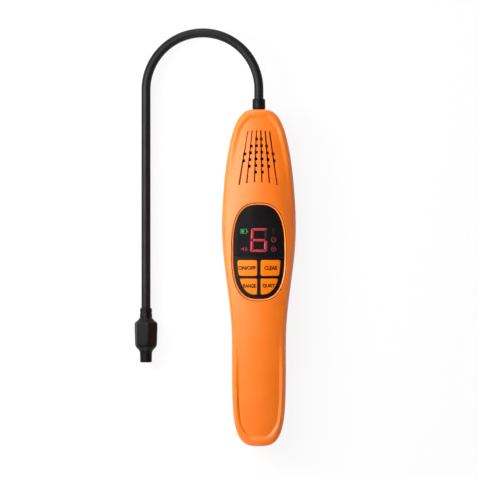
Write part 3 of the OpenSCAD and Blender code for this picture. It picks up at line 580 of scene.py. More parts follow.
# %% [markdown]
# ## The front shell
# The front shell is the large orange moulding that faces the reader. An even grid in x and y could cover
# it, but would leave a ragged outline. So the rays come together here: a fan at the tail, rows along the
# grip, rays to the oval, rows through the vents and a fan at the head. Only the right half is worked out,
# and the left half is its mirror image.

# %% Ray ends
TAIL_RAYS, OVAL_RAYS, HEAD_RAYS = 34, 96, 30
GRIP_ROWS, SHOULDER_ROWS = 70, 15
TIP_SHIFT = 5  # the rays fan out this far past each tip of the oval

low_tip, high_tip = oval(np.array([-np.pi / 2, np.pi / 2]), LEDGE)[1]
oval_angles = even_angles(OVAL_RAYS, LEDGE)
oval_x, oval_s = oval(oval_angles, LEDGE)
tail_x, tail_s = fan(TAIL_POLE, -1, TAIL_RAYS)
head_x, head_s = (ends[::-1] for ends in fan(HEAD_POLE, 1, HEAD_RAYS))
grip_rows = np.linspace(TAIL_POLE, low_tip, GRIP_ROWS)[1:-1]
shoulder_rows = np.linspace(high_tip, vent_rows[0], SHOULDER_ROWS)[1:-1]
top_rows = np.append(shoulder_rows, vent_rows)

row_x = np.concatenate([0 * grip_rows, oval_x, 0 * top_rows])
row_s = np.concatenate([grip_rows, oval_s, top_rows])
run = run_along(row_x, row_s)
first, last = len(grip_rows), len(grip_rows) + len(oval_s) - 1
start_s = row_s + spread(run - run[first] - TIP_SHIFT) + spread(run - run[last] + TIP_SHIFT)

outer_x = np.concatenate([tail_x, half_width(start_s), head_x])
outer_s = np.concatenate([tail_s, start_s, head_s])
inner_x = np.concatenate([0 * tail_x, row_x, 0 * head_x])
inner_s = np.concatenate([0 * tail_s + TAIL_POLE, row_s, 0 * head_s + HEAD_POLE])
ray = np.hypot(inner_x - outer_x, inner_s - outer_s)
print("rays on each side:", len(ray), "shortest:", round(ray.min(), 2))

# %% [markdown]
# ## Rings of the rim
# The step inside the rim is the line that the eye follows round the handset. An even grid could show it
# with ten times the faces. Instead it gets rings of its own at set distances from the outline, some over
# the rounded edge and some down the slope. At both tips a flat shelf widens the rim, and the slope is wider
# at both ends, where the lamps draw a broad bright band on it.

# %% Rings of the rim
EDGE_RINGS, SLOPE_RINGS = 11, 9
TAIL_SHELF, HEAD_SHELF = 2.1, 1.1  # width of the shelf at each tip
TAIL_TIP, HEAD_TIP = 18, 14  # lengths over which the shelves run out
TAIL_WIDER, HEAD_WIDER = 0.2, 0.35  # shares by which the slope is wider at the ends
HEAD_WIDER_FROM, HEAD_WIDENING = 180, 30
SLOPE_LIMIT = 0.8  # share of a ray that edge and slope may take

edge_turn = np.linspace(0, np.arccos(1 - RIM_START / EDGE_WIDTH), EDGE_RINGS)
edge_rings = np.broadcast_to(EDGE_WIDTH * (1 - np.cos(edge_turn)), (len(ray), EDGE_RINGS))
slope_shares = np.linspace(0, 1, SLOPE_RINGS)
tail_tip = 1 - ease(outer_s / TAIL_TIP)
head_tip = 1 - ease((LENGTH - outer_s) / HEAD_TIP)
shelf = TAIL_SHELF * tail_tip + HEAD_SHELF * head_tip
wider = 1 + TAIL_WIDER * tail_tip + HEAD_WIDER * ease((outer_s - HEAD_WIDER_FROM) / HEAD_WIDENING)
slope = np.minimum(RIM_SLOPE * wider, SLOPE_LIMIT * ray - RIM_START)
rim_rings = (RIM_START + shelf)[:, None] + slope[:, None] * slope_shares
rim_end = rim_rings[:, -1]
level_rings = np.broadcast_to(RIM_START + RIM_SLOPE * slope_shares, rim_rings.shape)
RIM_RINGS = EDGE_RINGS + SLOPE_RINGS
print("the rim ends between", round(rim_end.min(), 2), "and", round(rim_end.max(), 2), "mm from the outline")

# %% [markdown]
# ## Rings through the vents
# Inside the rim the rings divide each ray evenly. Towards the vents they move over to the sides of the
# grooves, so that a groove's wall is one row of narrow quads. Cutting the grooves with solids was the other
# way, but its edges would shade unevenly. Beside a hole the groove's floor is kept as wide as the hole.

# %% Rings through the vents
BLEND_FROM, BLEND = 167, 9  # the rings move over from this station, over this length
OUTER_RINGS = 7  # between the rim and the outermost groove
RINGS = OUTER_RINGS + len(fan_lines)

even = np.arange(1, RINGS + 1) / RINGS
in_vents = ease((inner_s - BLEND_FROM) / BLEND)[:, None]
level_rim = half_width(np.minimum(inner_s, HEAD_POLE))[:, None] - RIM_START - RIM_SLOPE
holed = over_hole(inner_s) & (inner_s < VENT_HIGH)[:, None]
reach = (VENT_APEX - np.minimum(inner_s, HEAD_POLE))[:, None]
middles = groove_middles * reach
half_floor = np.where(holed, np.maximum(foot * reach, HOLE_SIDE / 2), foot * reach)
half_groove = np.maximum(brink * reach, half_floor + WALL_SLOPE)
across = np.stack([half_groove, half_floor, 0 * middles, -half_floor, -half_groove], axis=-1)
groove_x = middles[..., None] + across
fan_share = 1 - with_lands(groove_x) / level_rim
outer_share = fan_share[:, :1] * np.arange(1, OUTER_RINGS + 1) / (OUTER_RINGS + 1)
fan_share = np.concatenate([outer_share, fan_share], axis=1)
shares = even + (fan_share - even) * in_vents
inner_rings = rim_end[:, None] + (ray - rim_end)[:, None] * shares
inset = np.concatenate([edge_rings, rim_rings, inner_rings], axis=1)
level = np.concatenate([edge_rings, level_rings, inner_rings], axis=1)
print("rings on each ray:", inset.shape[1])

# %% [markdown]
# ## Points of the front
# Every crossing of a ray and a ring becomes a point. Its height comes from the formula of the front, less
# the depth of a groove where it lies in one. The rows of the vents bow downwards on both sides. Bending the
# finished mesh could do that, but points that move before they get their height stay on the crown.

# %% Points of the front
VENT_DEPTH, ROW_RADIUS = 0.75, 42

along = inset / ray[:, None]
front_x = outer_x[:, None] + (inner_x - outer_x)[:, None] * along
front_s = outer_s[:, None] + (inner_s - outer_s)[:, None] * along

outer_steps = np.arange(1, OUTER_RINGS + 1) / (OUTER_RINGS + 1)
fade = np.concatenate([np.zeros(RIM_RINGS), outer_steps, np.ones(len(fan_lines))])
bow = np.concatenate([np.full(RIM_RINGS + OUTER_RINGS, bow_lines[0]), bow_lines])
lean = np.concatenate([np.full(RIM_RINGS + OUTER_RINGS, fan_lines[0]), fan_lines])
head_fade = np.sin(np.linspace(np.pi / 2, 0, len(head_s))) ** 2
head_turn = np.concatenate([np.ones(len(ray) - len(head_s)), head_fade])
sag = (bow * reach) ** 2 / (2 * ROW_RADIUS) * fade * in_vents * head_turn[:, None]
front_s = front_s - sag
front_x = front_x + lean * sag

row_sunk = (inner_s > VENT_LOW) & (inner_s < VENT_HIGH)
ring_sunk = np.concatenate([np.zeros(RIM_RINGS + OUTER_RINGS), sunk])
front_z = front_height(front_x, front_s, level) - VENT_DEPTH * row_sunk[:, None] * ring_sunk
print("front rises to", round(front_z.max(), 2), "mm")

# %% [markdown]
# ## Holes, ledge and wall
# The holes are quads left out, and a ledge steps down round the opening to carry the panel. A boolean for
# every hole would be slower and leave a ragged grid. Solidify then gives the shell its wall. Its inside is
# painted dark brown as painted shade, because only shade is seen through holes so small.

# %% Holes, ledge and shell
open_rows = holed[1:] & holed[:-1]
groove_numbers = np.repeat(np.arange(GROOVES), len(groove_pattern))
ring_groove = np.concatenate([np.full(RIM_RINGS + OUTER_RINGS, -1), groove_numbers, [-1]])
floor_cell = (ring_sunk[1:] > 0) & (ring_sunk[:-1] > 0)
hole_cells = floor_cell & open_rows[:, np.maximum(ring_groove[:-1], 0)]

SKIN_WALL = 1.1  # half the solid's, so that the inner corners of the grooves don't cross
ledge_grow = np.array([LEDGE, 1.92, 1.87, 1.52, 1.48, 1.16, 1.16, 0.0, 0.0])
ledge_drop = np.array([0, 0.01, 0.05, 0.75, 0.8, 0.8, 0.95, 0.95, 1.9])
ledge_x, ledge_s = oval(oval_angles[:, None], ledge_grow)
ledge = sheet(ledge_x, ledge_s, dome(ledge_x, ledge_s) - ledge_drop)
front_points, front_quads = sheet(front_x, front_s, front_z)
front = mirrored(*joined((front_points, front_quads[~hole_cells]), ledge))
# The wall's inside carries the painted shade brown.
new_piece(
    "front_shell_skin", *front, shell_orange, "handset", ["front_shell"], "shell", SKIN_WALL,
    shade_lining=shade_brown,
)

# %% [markdown]
# ## The bead round the panel
# A thin bead runs round the opening, leans in and drops to the panel. It is smoother than the shell, so it
# catches the lamps, and its orange is painted lighter than the shell's as a painted highlight, so it shows as
# a bright line. A narrow gap parts it from the shell, and a strip of painted shade in dark brown lies on the
# gap's floor; a second strip of painted shade lies between the bead and the panel as a dark seam. A curve
# with a round bevel could draw a bead, but not one that leans. So one profile is carried round the oval, and
# each point of it is given by how far outside the panel it lies and how deep.

# %% Bead and gap
bead_grow = np.array([1.18, 1.18, 1.16, 1.13, 1.1, 1.0, 0.85, 0.7, 0.57, 0.45, 0.36, 0.29, 0.25])
bead_drop = np.array([0.94, 0.12, 0.04, 0.01, 0.0, 0.04, 0.12, 0.22, 0.33, 0.48, 0.65, 0.84, 0.94])
# Painted shade: dark brown strips on the floor of the gap outside the bead and at the seam inside it.
gap_shade_grow, gap_shade_drop = np.array([1.58, 1.5, 1.17]), np.array([0.62, 0.77, 0.77])
seam_shade_grow, seam_shade_drop = np.array([0.28, 0.14, 0.0]), np.array([0.93, 0.93, 0.93])
BEAD_STEPS = 384
around = np.linspace(-np.pi, np.pi, BEAD_STEPS + 1)[:, None]


def round_panel(grow, drop):
    """A profile carried round the oval: x and s from the oval grown by each step, z the dome less the
    step's drop."""
    x, s = oval(around, grow)
    return sheet(x, s, dome(x, s) - drop)


# The bead, in the lighter orange of its painted highlight.
new_piece("panel_bead", *round_panel(bead_grow, bead_drop), bead_highlight_orange, "handset", [], "shell", angle=60)
# Both strips of painted shade, as one piece.
gap_shades = joined(round_panel(gap_shade_grow, gap_shade_drop), round_panel(seam_shade_grow, seam_shade_drop))
new_piece("panel_gap", *gap_shades, shade_brown, "handset", [], "shell")

# %% [markdown]
# ## Painted shadows in the vents
# Each groove is darkest along its left foot, where its left wall throws a shadow from the lamps on the left.
# A strip of painted shadow in dark brown lies on the groove's floor along that foot, and follows the same fan
# and the same bow as the groove.

# %% Vent groove shadows
SHADOW_WIDTH = 0.75  # width
SHADOW_SIDE, SHADOW_RISE = 0.02, 0.03  # from the groove's foot and from its floor


def groove_shadow(k, side):
    """A strip of painted shadow: two edges a fixed width apart along a groove's left foot, whose x is in
    proportion to the distance from the fan's apex; rows that cross a hole are left out."""
    s = vent_rows[1:-1, None]
    reach = VENT_APEX - s
    closed = ~over_hole((s[1:, 0] + s[:-1, 0]) / 2)[:, k]
    left = side * groove_middles[k] * reach - foot * reach + SHADOW_SIDE
    x = np.concatenate([left, left + SHADOW_WIDTH], axis=1)
    s = s - (groove_middles[k] * reach) ** 2 / (2 * ROW_RADIUS)
    points, quads = sheet(x, s, dome(x, s) - VENT_DEPTH + SHADOW_RISE)
    return points, quads[closed]


# Painted shadows: a dark strip along the left foot of every groove, on both halves.
groove_shadows = joined(*[groove_shadow(k, side) for k in range(GROOVES) for side in (-1, 1)])
new_piece("vent_groove_shadows", *groove_shadows, shade_brown, "handset", [], "shell")

# %% [markdown]
# ## The back
# The back is a tub on whose flat floor the handset lies. A box with bevelled edges would be close to it, but
# its walls would be flat. Here a superellipse of power 2.4 turns the side wall into the floor, and the rays
# of the front serve again: rings run from the parting plane down the wall and across the floor.

# %% Back formulas
BACK_ROUND, BACK_POWER = 10, 2.4
BACK_RAYS, BACK_RINGS = 30, 17
GRIP_SPAN = 13  # length of the thumb grooves
GRIP_STEP = 0.1  # a thumb groove's walls lean over this much to each side of its edges
FLOOR_SHARES = np.array([0.7, 0.35, 0])  # rings of the floor inside the thumb grooves' ends


def back_rays(rows, pole, side):
    """Outline points of a stretch of the back and the spine points that they look at: the fan at its end,
    -1 for the tail and 1 for the head, and the rows, from tail to head."""
    end_x, end_s = fan(pole, side, BACK_RAYS)
    rows = rows[::-side]
    x = np.concatenate([end_x, half_width(rows)])
    s = np.concatenate([end_s, rows])
    goal = np.concatenate([0 * end_s + pole, rows])
    return x[::-side], s[::-side], goal[::-side]


def back_grid(x, s, goal):
    """Rings of the superellipse from the parting plane to the floor, then rings across the floor that
    pass through the ends of the thumb grooves."""
    turn = np.linspace(0, np.pi / 2, BACK_RINGS)
    inset = BACK_ROUND * (1 - np.cos(turn) ** (2 / BACK_POWER))
    height = PARTING * (1 - np.sin(turn) ** (2 / BACK_POWER))
    ray = np.hypot(x, s - goal)
    ends = np.array([GRIP_SPAN / 2 + GRIP_STEP, GRIP_SPAN / 2 - GRIP_STEP])
    share = np.concatenate([ends, ends[1] * FLOOR_SHARES]) / x.max()
    floor_inset = ray[:, None] - share * (ray[:, None] - BACK_ROUND) * x.max() / (x.max() - BACK_ROUND)
    inset = np.concatenate([np.broadcast_to(inset, (len(x), BACK_RINGS)), floor_inset], axis=1)
    along = inset / ray[:, None]
    height = np.concatenate([height, np.zeros(len(share))])
    back_s = s[:, None] + (goal - s)[:, None] * along
    return x[:, None] * (1 - along), back_s, np.broadcast_to(height, inset.shape)


print("back rounds over", BACK_ROUND, "mm")

# %% [markdown]
# ## The rear shell
# The upper part of the back belongs to the rear shell, and four screws hold it to the front. Their heads
# sit in counterbored holes. A hole could be drawn into the grid, but round holes follow no line of it, so
# each is cut by a boolean with a turned cutter.

# %% Screw bores
COVER_LENGTH = 95
CASE_SITES = [(11, COVER_LENGTH + 4.6), (8, LENGTH - 16)]  # x and station of the screws on each side
BORE_SIDES = 48
HEAD_BORE, SHANK_BORE, SEAT = 2.95, 1.65, 1.6  # two radii and the height where the screw's head sits
BORE_LOW, BORE_HIGH = -1, 4
BORE_STEPS = [
    (0, BORE_LOW), (HEAD_BORE, BORE_LOW), (HEAD_BORE, SEAT), (SHANK_BORE, SEAT), (SHANK_BORE, BORE_HIGH),
    (0, BORE_HIGH),
]


def full_turn(count):
    """The angles of a circle divided into that many steps."""
    return np.linspace(0, 2 * np.pi, count, endpoint=False)


def cutter(x, s, angle, radius, height):
    """A scratch solid to be cut out of a piece: rings about x and station s, each with its radius, one value
    or one for each angle, and its height."""
    points = placed(x + radius * np.cos(angle), s + radius * np.sin(angle), height)
    return added("cutter", solid_mesh("cutter", points, grid_faces(len(radius), len(angle), wrap=True)))


def screw_bore(x, s):
    """Cutter of turned steps, each a radius and a height, standing at x and station s."""
    radius, height = np.array(BORE_STEPS).T[..., None]
    return cutter(x, s, full_turn(BORE_SIDES), radius, height)


screw_bores = [screw_bore(side * x, s) for x, s in CASE_SITES for side in (-1, 1)]
print("screw bores:", len(screw_bores))

# %% Rear shell
WALL, REAR_ROWS = 2.2, 110


def clear_away(cutters):
    """Takes the cutters out of the scene."""
    for scratch in cutters:
        bpy.data.objects.remove(scratch)


rear_rows = np.linspace(COVER_LENGTH, HEAD_POLE, REAR_ROWS)
rear = mirrored(*sheet(*back_grid(*back_rays(rear_rows, HEAD_POLE, 1))))
new_piece(
    "rear_shell_skin", *rear, cover_orange, "handset", ["rear_shell"], "shell", WALL, cutters=screw_bores
)
clear_away(screw_bores)

# %% [markdown]
# ## The battery cover
# The lower part of the back is the battery cover, which slides off towards the tail. Six boxes could cut its
# thumb grooves, but rows of the grid pushed in need no boolean. A tongue at the cover's upper end hooks
# under the rear shell, and two plain boxes are enough for it.

# %% Battery cover
COVER_GAP = 0.3
GRIP_COUNT, GRIP_PITCH, GRIP_GROOVE, GRIP_DEPTH = 6, 3, 1.4, 0.6
GRIP_START = 14  # from the cover's upper end to the lower edge of the first thumb groove
DEEP_RINGS = 4  # innermost rings, which the thumb grooves cross
LOWER_ROWS, UPPER_ROWS = 44, 12  # below and above the thumb grooves

cover_end = COVER_LENGTH - COVER_GAP
groove_starts = COVER_LENGTH - GRIP_START - np.arange(GRIP_COUNT)[::-1] * GRIP_PITCH
groove_edges = np.array([-GRIP_STEP, GRIP_STEP, GRIP_GROOVE - GRIP_STEP, GRIP_GROOVE + GRIP_STEP])
groove_rows = (groove_starts[:, None] + groove_edges).reshape(-1)
cover_rows = np.concatenate([
    np.linspace(TAIL_POLE, groove_rows[0], LOWER_ROWS)[1:-1],
    groove_rows,
    np.linspace(groove_rows[-1], cover_end, UPPER_ROWS)[1:],
])
back_x, back_s, back_z = back_grid(*back_rays(cover_rows, TAIL_POLE, -1))
deep_row = np.isin(back_s[:, -1], groove_rows.reshape(-1, 4)[:, 1:3])
deep_ring = np.arange(back_x.shape[1]) >= back_x.shape[1] - DEEP_RINGS
back_z = np.minimum(back_z, PARTING - COVER_GAP) + GRIP_DEPTH * deep_row[:, None] * deep_ring
cover = mirrored(*sheet(back_x, back_s, back_z))
new_piece("battery_cover_skin", *cover, cover_orange, "sliding_cover", ["battery_cover"], "shell", WALL)

# %% Tongue of the cover
TONGUE_HALF, TONGUE_ROOT, TONGUE_REACH, TONGUE_THICKNESS, TONGUE_SINK = 7, 8, 4, 1.4, 0.2


def slab(low, high):
    """The six faces of a box between two corners."""
    square = np.array([[0, 0], [1, 0], [1, 1], [0, 1]])
    corner = np.concatenate([np.insert(square, 2, level, axis=1) for level in (0, 1)])
    faces = np.array([[0, 1, 2, 3], [4, 5, 6, 7], [0, 1, 5, 4], [1, 2, 6, 5], [2, 3, 7, 6], [3, 0, 4, 7]])
    return placed(*(low + np.subtract(high, low) * corner).T), faces


tongue_low = WALL + COVER_GAP
tongue_top = tongue_low + TONGUE_THICKNESS
tongue_root = slab(
    (-TONGUE_HALF, COVER_LENGTH - TONGUE_ROOT, WALL - TONGUE_SINK), (TONGUE_HALF, cover_end, tongue_top)
)
tongue_hook = slab(
    (-TONGUE_HALF, cover_end, tongue_low), (TONGUE_HALF, COVER_LENGTH + TONGUE_REACH, tongue_top)
)
tongue = joined(tongue_root, tongue_hook)
new_piece("cover_tongue", *tongue, cover_orange, "sliding_cover", [], "shell")

# %% [markdown]
# ## The panel
# The black oval sits in the opening. Its upper half is the glossy window of the display, and its lower half
# is a duller frame with an opening for each key. A flat plate would be easier, but lamps would show in all
# of it at once. These faces are cylinders round one axis that runs along the handset, as the crown is, so a
# point needs only its x to find its height.

# %% Panel surface
AXIS_HEIGHT = BODY_HEIGHT - CROWN_RADIUS
PANEL_RADIUS, KEY_RADIUS = CROWN_RADIUS - 1.2, CROWN_RADIUS - 0.5
PANEL_THICKNESS, PANEL_FIT = 2, 0.05
SHEET_ROWS, SHEET_COLUMNS = 60, 41
SPLIT_STATION = PANEL_STATION - 0.055 * 2 * PANEL_HALF_LENGTH


def on_cylinder(x, radius):
    """Height of the panel's cylinder of that radius at x."""
    return AXIS_HEIGHT + np.sqrt(radius**2 - x**2)


def oval_sheet(start, end, radius):
    """Part of the oval between two stations: rows by the oval's angle, columns by shares of its width that
    are the sines of even steps, so they crowd towards the edge; z is the cylinder's height."""
    def angle_at(s):
        """The angle at which the oval reaches station s."""
        share = (s - PANEL_STATION) / (PANEL_HALF_LENGTH - PANEL_FIT)
        return np.arcsin(np.sign(share) * clamped(np.abs(share)) ** (OVAL_POWER / 2))

    angle = np.linspace(angle_at(start), angle_at(end), SHEET_ROWS)
    x, s = oval(angle, -PANEL_FIT)
    column = np.sin(np.linspace(-np.pi / 2, np.pi / 2, SHEET_COLUMNS))
    x = np.abs(x)[:, None] * column
    s = np.broadcast_to(s[:, None], x.shape)
    return sheet(x, s, on_cylinder(x, radius))


WINDOW_SINK = 0.04  # the window lies this much deeper, so that the signs stand proud of it
window = oval_sheet(SPLIT_STATION + PANEL_FIT, PANEL_STATION + PANEL_HALF_LENGTH, PANEL_RADIUS - WINDOW_SINK)
new_piece(
    "display_window_skin", *window, window_black, "handset", ["display_window"], "window",
    PANEL_THICKNESS - WINDOW_SINK,
)

# %% [markdown]
# ## The keys
# Each key is a rounded block whose outer side follows the oval. A drawn curve with four rounded corners
# could be its outline. Here the outline is a distance from the key's middle in every direction: the least of
# the distances to its straight sides and to the oval, taken as a soft least, which rounds all corners at
# once. The same outline, a little larger, cuts the frame.

# %% Key outline
KEY_GAP, ROW_GAP, KEY_MARGIN = 2.1, 1.6, 2.4
ROW_MIDDLE = PANEL_STATION - 17.2
KEY_ROWS = {
    "upper": (ROW_MIDDLE + ROW_GAP / 2, SPLIT_STATION - 1.9),
    "lower": (PANEL_STATION - PANEL_HALF_LENGTH + KEY_MARGIN - 0.2, ROW_MIDDLE - ROW_GAP / 2),
}
KEY_MIDDLES = {"upper": (8.0, 0.0), "lower": (6.6, 1.2)}  # from the centre line and above the row's middle
KEY_SHARPNESS = 13
KEY_TURNS = 160
FARTHEST, HALVINGS = 60.0, 40


def oval_distance(angle, x, s, grow):
    """How far it is from a point to the oval along each direction, found by halving an interval."""
    near, far = np.zeros_like(angle), np.full_like(angle, FARTHEST)
    for _ in range(HALVINGS):
        middle = (near + far) / 2
        u = np.abs(x + middle * np.cos(angle)) / (PANEL_HALF_WIDTH + grow)
        v = np.abs(s + middle * np.sin(angle) - PANEL_STATION) / (PANEL_HALF_LENGTH + grow)
        inside = u**OVAL_POWER + v**OVAL_POWER < 1
        near, far = np.where(inside, middle, near), np.where(inside, far, middle)
    return near


def key_outline(side, row, grow):
    """Middle of a key and, for each direction, the soft least of the distances to its sides: one over
    the sum of their inverses to a high power, to the root of that power."""
    low, high = KEY_ROWS[row]
    x, s = side * KEY_MIDDLES[row][0], (low + high) / 2 + KEY_MIDDLES[row][1]
    angle = full_turn(KEY_TURNS)
    inward = np.abs(x) - KEY_GAP / 2 + grow
    inverse = [
        np.maximum(-side * np.cos(angle), 0) / inward,
        np.maximum(np.sin(angle), 0) / (high + grow - s),
        np.maximum(-np.sin(angle), 0) / (s - low + grow),
        1 / oval_distance(angle, x, s, grow - KEY_MARGIN),
    ]
    return x, s, angle, np.sum(np.power(inverse, KEY_SHARPNESS), axis=0) ** (-1 / KEY_SHARPNESS)


print("key rows:", {row: np.round(ends, 2).tolist() for row, ends in KEY_ROWS.items()})

# %% [markdown]
# ## Key caps and their frame
# A cap is a stack of rings of its outline: up the side, over a round edge and across the top. A bevelled
# extrusion would be close, but its top would be flat, and these tops follow the cylinder of the panel. The
# frame is a sheet of the oval, with a column a little wider than each key cut out of it.

# %% Key caps and their frame
KEYS = {
    "power": (-1, "upper"), "reset": (1, "upper"), "sensitivity": (-1, "lower"), "mute": (1, "lower"),
}
EDGE_ROUND, KEY_DEPTH, KEY_DRAW, KEY_CLEARANCE = 0.6, 3.2, 0.1, 0.3
TOP_RINGS = np.array([0.98, 0.93, 0.84, 0.7, 0.5, 0.25, 0])  # shares of the outline
COLUMN_HEIGHTS = np.array([24, 24, 38, 38])[:, None]  # of the rings of a cutter


def key_cap(side, row):
    """Rings of a key: up its side, over a round edge and across its top to the middle; the heights hang
    from the key's cylinder."""
    x, s, angle, reach = key_outline(side, row, -KEY_DRAW)
    turn = np.linspace(0, np.pi / 2, 7)
    inset = np.concatenate([[0, 0], EDGE_ROUND * (1 - np.cos(turn))])
    over_edge = EDGE_ROUND * (1 - np.sin(turn))
    depth = np.concatenate([np.full(3, KEY_DEPTH), over_edge, np.zeros(len(TOP_RINGS))])[:, None]
    flank, top = reach - inset[:, None], (reach - EDGE_ROUND) * TOP_RINGS[:, None]
    rings = np.concatenate([0 * reach[None], flank, top])
    px, ps = x + rings * np.cos(angle), s + rings * np.sin(angle)
    points = placed(px, ps, on_cylinder(px, KEY_RADIUS) - depth)
    return points, grid_faces(len(rings), KEY_TURNS, wrap=True)


def key_cutter(side, row):
    """Column a little wider than a key, from under the frame to above it."""
    x, s, angle, reach = key_outline(side, row, KEY_CLEARANCE)
    rings = np.stack([0 * reach, reach, reach, 0 * reach])
    return cutter(x, s, angle, rings, COLUMN_HEIGHTS)


for name, (side, row) in KEYS.items():
    new_piece(f"{name}_key_cap", *key_cap(side, row), key_orange, f"{name}_button", [f"{name}_key"], "key")
key_cutters = [key_cutter(side, row) for side, row in KEYS.values()]
key_frame = oval_sheet(PANEL_STATION - PANEL_HALF_LENGTH, SPLIT_STATION - PANEL_FIT, PANEL_RADIUS)
new_piece(
    "key_frame_skin", *key_frame, panel_black, "handset", ["key_frame"], "panel", PANEL_THICKNESS,
    cutters=key_cutters,
)
clear_away(key_cutters)

# %% [markdown]
# ## Words on the keys
# The keys are printed with short plain words in dark brown. A picture could carry them, but letters made of
# faces stay sharp from near. Blender's own letters are turned into a mesh first. Then every point is moved:
# its x and y are scaled to the key, and its height is taken from the key's cylinder, so the print lies on
# the curved top like ink.

# %% Key words
INK = 0.02  # half the depth of the letters
INK_SUNK = 0.4  # share of the letters' depth that lies in the key
WORDS = {
    "power": ("ON/OFF", 11.8), "reset": ("CLEAR", 9.0), "sensitivity": ("RANGE", 8.6), "mute": ("QUIET", 8.4),
}
WORD_HEIGHT = 2.8
WORD_PLACES = {"upper": (8.15, 121.7), "lower": (6.5, 109.6)}


def letters(text):
    """The mesh of a word in Blender's own font, and its points scaled to run from 0 to 1 each way."""
    data = bpy.data.curves.new("word", "FONT")
    data.body, data.extrude, data.offset = text, 0.5, 0.05
    scratch = added("word", data)
    mesh = bpy.data.meshes.new_from_object(scratch.evaluated_get(bpy.context.evaluated_depsgraph_get()))
    points = np.zeros(3 * len(mesh.vertices))
    mesh.vertices.foreach_get("co", points)
    points = points.reshape(-1, 3)
    bpy.data.objects.remove(scratch)
    return mesh, (points - points.min(axis=0)) / np.ptp(points, axis=0)


for name, (text, width) in WORDS.items():
    side, row = KEYS[name]
    mesh, unit = letters(text)
    x = side * WORD_PLACES[row][0] + (unit[:, 0] - 0.5) * width
    s = WORD_PLACES[row][1] + (unit[:, 1] - 0.5) * WORD_HEIGHT
    points = placed(x, s, on_cylinder(x, KEY_RADIUS) + (unit[:, 2] - INK_SUNK) * 2 * INK)
    mesh.vertices.foreach_set("co", (points * MM).reshape(-1))
    mesh.materials.clear()
    mesh.materials.append(ink_brown)
    word = added(f"{name}_key_word", mesh)
    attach(word, f"{name}_button")
    print(word.name, "points:", len(mesh.vertices))

# %% [markdown]
# ## Signs of the display
# The display shows one digit and small signs beside it. Filled curves could draw them flat, but here they
# have to lie on the panel's cylinder. So each is put together from strips, and a strip is a grid of two
# rows: one along each of its long edges. A bar is a strip between two straight edges, and a ring is a strip
# between two circles.

# %% Sign strips
DIGIT_STATION = PANEL_STATION + 8
SIGN_RISE = 0.03


def bar(x0, y0, x1, y1):
    """Strip that fills the rectangle between two corners."""
    return np.array([[[x0, y0], [x1, y0]], [[x0, y1], [x1, y1]]], float)


def arc(radius, width, start, end, count=25):
    """Strip along a circle between two angles in degrees."""
    angle = np.radians(np.linspace(start, end, count))
    ring = np.stack([np.cos(angle), np.sin(angle)], axis=-1)
    return np.stack([ring * (radius - width / 2), ring * (radius + width / 2)])


def sign(name, strips, finish, replaced, slot):
    """Strips given as (x, row of the display, strip), laid on the window and thickened."""
    grids = []
    for x, row, strip in strips:
        px = strip[..., 0] + x
        ps = strip[..., 1] + row + DIGIT_STATION
        grids.append(sheet(px, ps, on_cylinder(px, PANEL_RADIUS) + SIGN_RISE))
    piece = new_piece(name, *joined(*grids), finish, "handset", [replaced], slot)
    normals = np.zeros(3 * len(piece.data.polygons))
    piece.data.polygons.foreach_get("normal", normals)
    if normals[2::3].mean() < 0:
        piece.data.flip_normals()
    grow = piece.modifiers.new("wall", "SOLIDIFY")
    grow.thickness, grow.offset = 2 * SIGN_RISE * MM, -1


print("the digit stands at station", round(DIGIT_STATION, 2))

# %% [markdown]
# ## The digit
# The digit is made of seven bars, of which one stays unlit. A figure from a font would be simpler, but it
# has no gaps between its bars. The ends of these bars are cut at a slant, as they are in a real display, and
# the whole digit leans a little. The upper left bar, turned over, gives the other three upright ones.

# %% Digit
DIGIT_WIDTH, DIGIT_HEIGHT, DIGIT_LEAN = 11.5, 16.1, 0.04
UPRIGHT, LEVEL, MITRE = 2.1, 1.6, 0.3  # widths of the bars, and half of the gap where two bars meet
POINT = 1.2  # from the digit's side to the points of the middle bar
BAR_POINTS = 13


def mitred(outer_start, outer_end, inner_start, inner_end):
    """Strip of a digit's bar between its outer and its inner edge, leaning like the digit."""
    strip = np.stack([
        np.linspace(outer_start, outer_end, BAR_POINTS), np.linspace(inner_start, inner_end, BAR_POINTS)
    ])
    strip[..., 0] += DIGIT_LEAN * strip[..., 1]
    return strip


w, h = DIGIT_WIDTH / 2, DIGIT_HEIGHT / 2
tip_x, slant_x = w - MITRE, w - UPRIGHT - MITRE
cap_bar, foot_bar = (
    mitred((-tip_x, outer), (tip_x, outer), (-slant_x, inner), (slant_x, inner))
    for outer, inner in ((h, h - LEVEL), (-h, LEVEL - h))
)
middle_top, middle_low = (
    mitred((-w + POINT, 0), (w - POINT, 0), (-w + UPRIGHT, rise), (w - UPRIGHT, rise))
    for rise in (LEVEL / 2, -LEVEL / 2)
)
upper_left = mitred(
    (-w, h - MITRE), (-w, MITRE), (-w + UPRIGHT, h - LEVEL - MITRE), (-w + UPRIGHT, LEVEL / 2 + MITRE)
)
lower_left, lower_right = upper_left * [1, -1], upper_left * -1
lower_left[..., 0] -= 2 * DIGIT_LEAN * upper_left[..., 1]
upper_right = lower_left * -1
digit = [cap_bar, foot_bar, middle_top, middle_low, upper_left, lower_left, lower_right]
sign("digit_sign", [(0, 0, strip) for strip in digit], lit_red, "digit_bars", "lit_red")
sign("unlit_bar", [(0, 0, upper_right)], unlit_grey, "idle_bar", "unlit")

# %% [markdown]
# ## The small signs
# Beside the digit stand a battery, a horn with two sound waves, a ring with a slash, a ring with a dot and
# an unlit mark of three bars. Printed pictures would be the other way, but then the signs could not have
# their own glow. Each is a short list of strips, in millimetres from the sign's own middle.

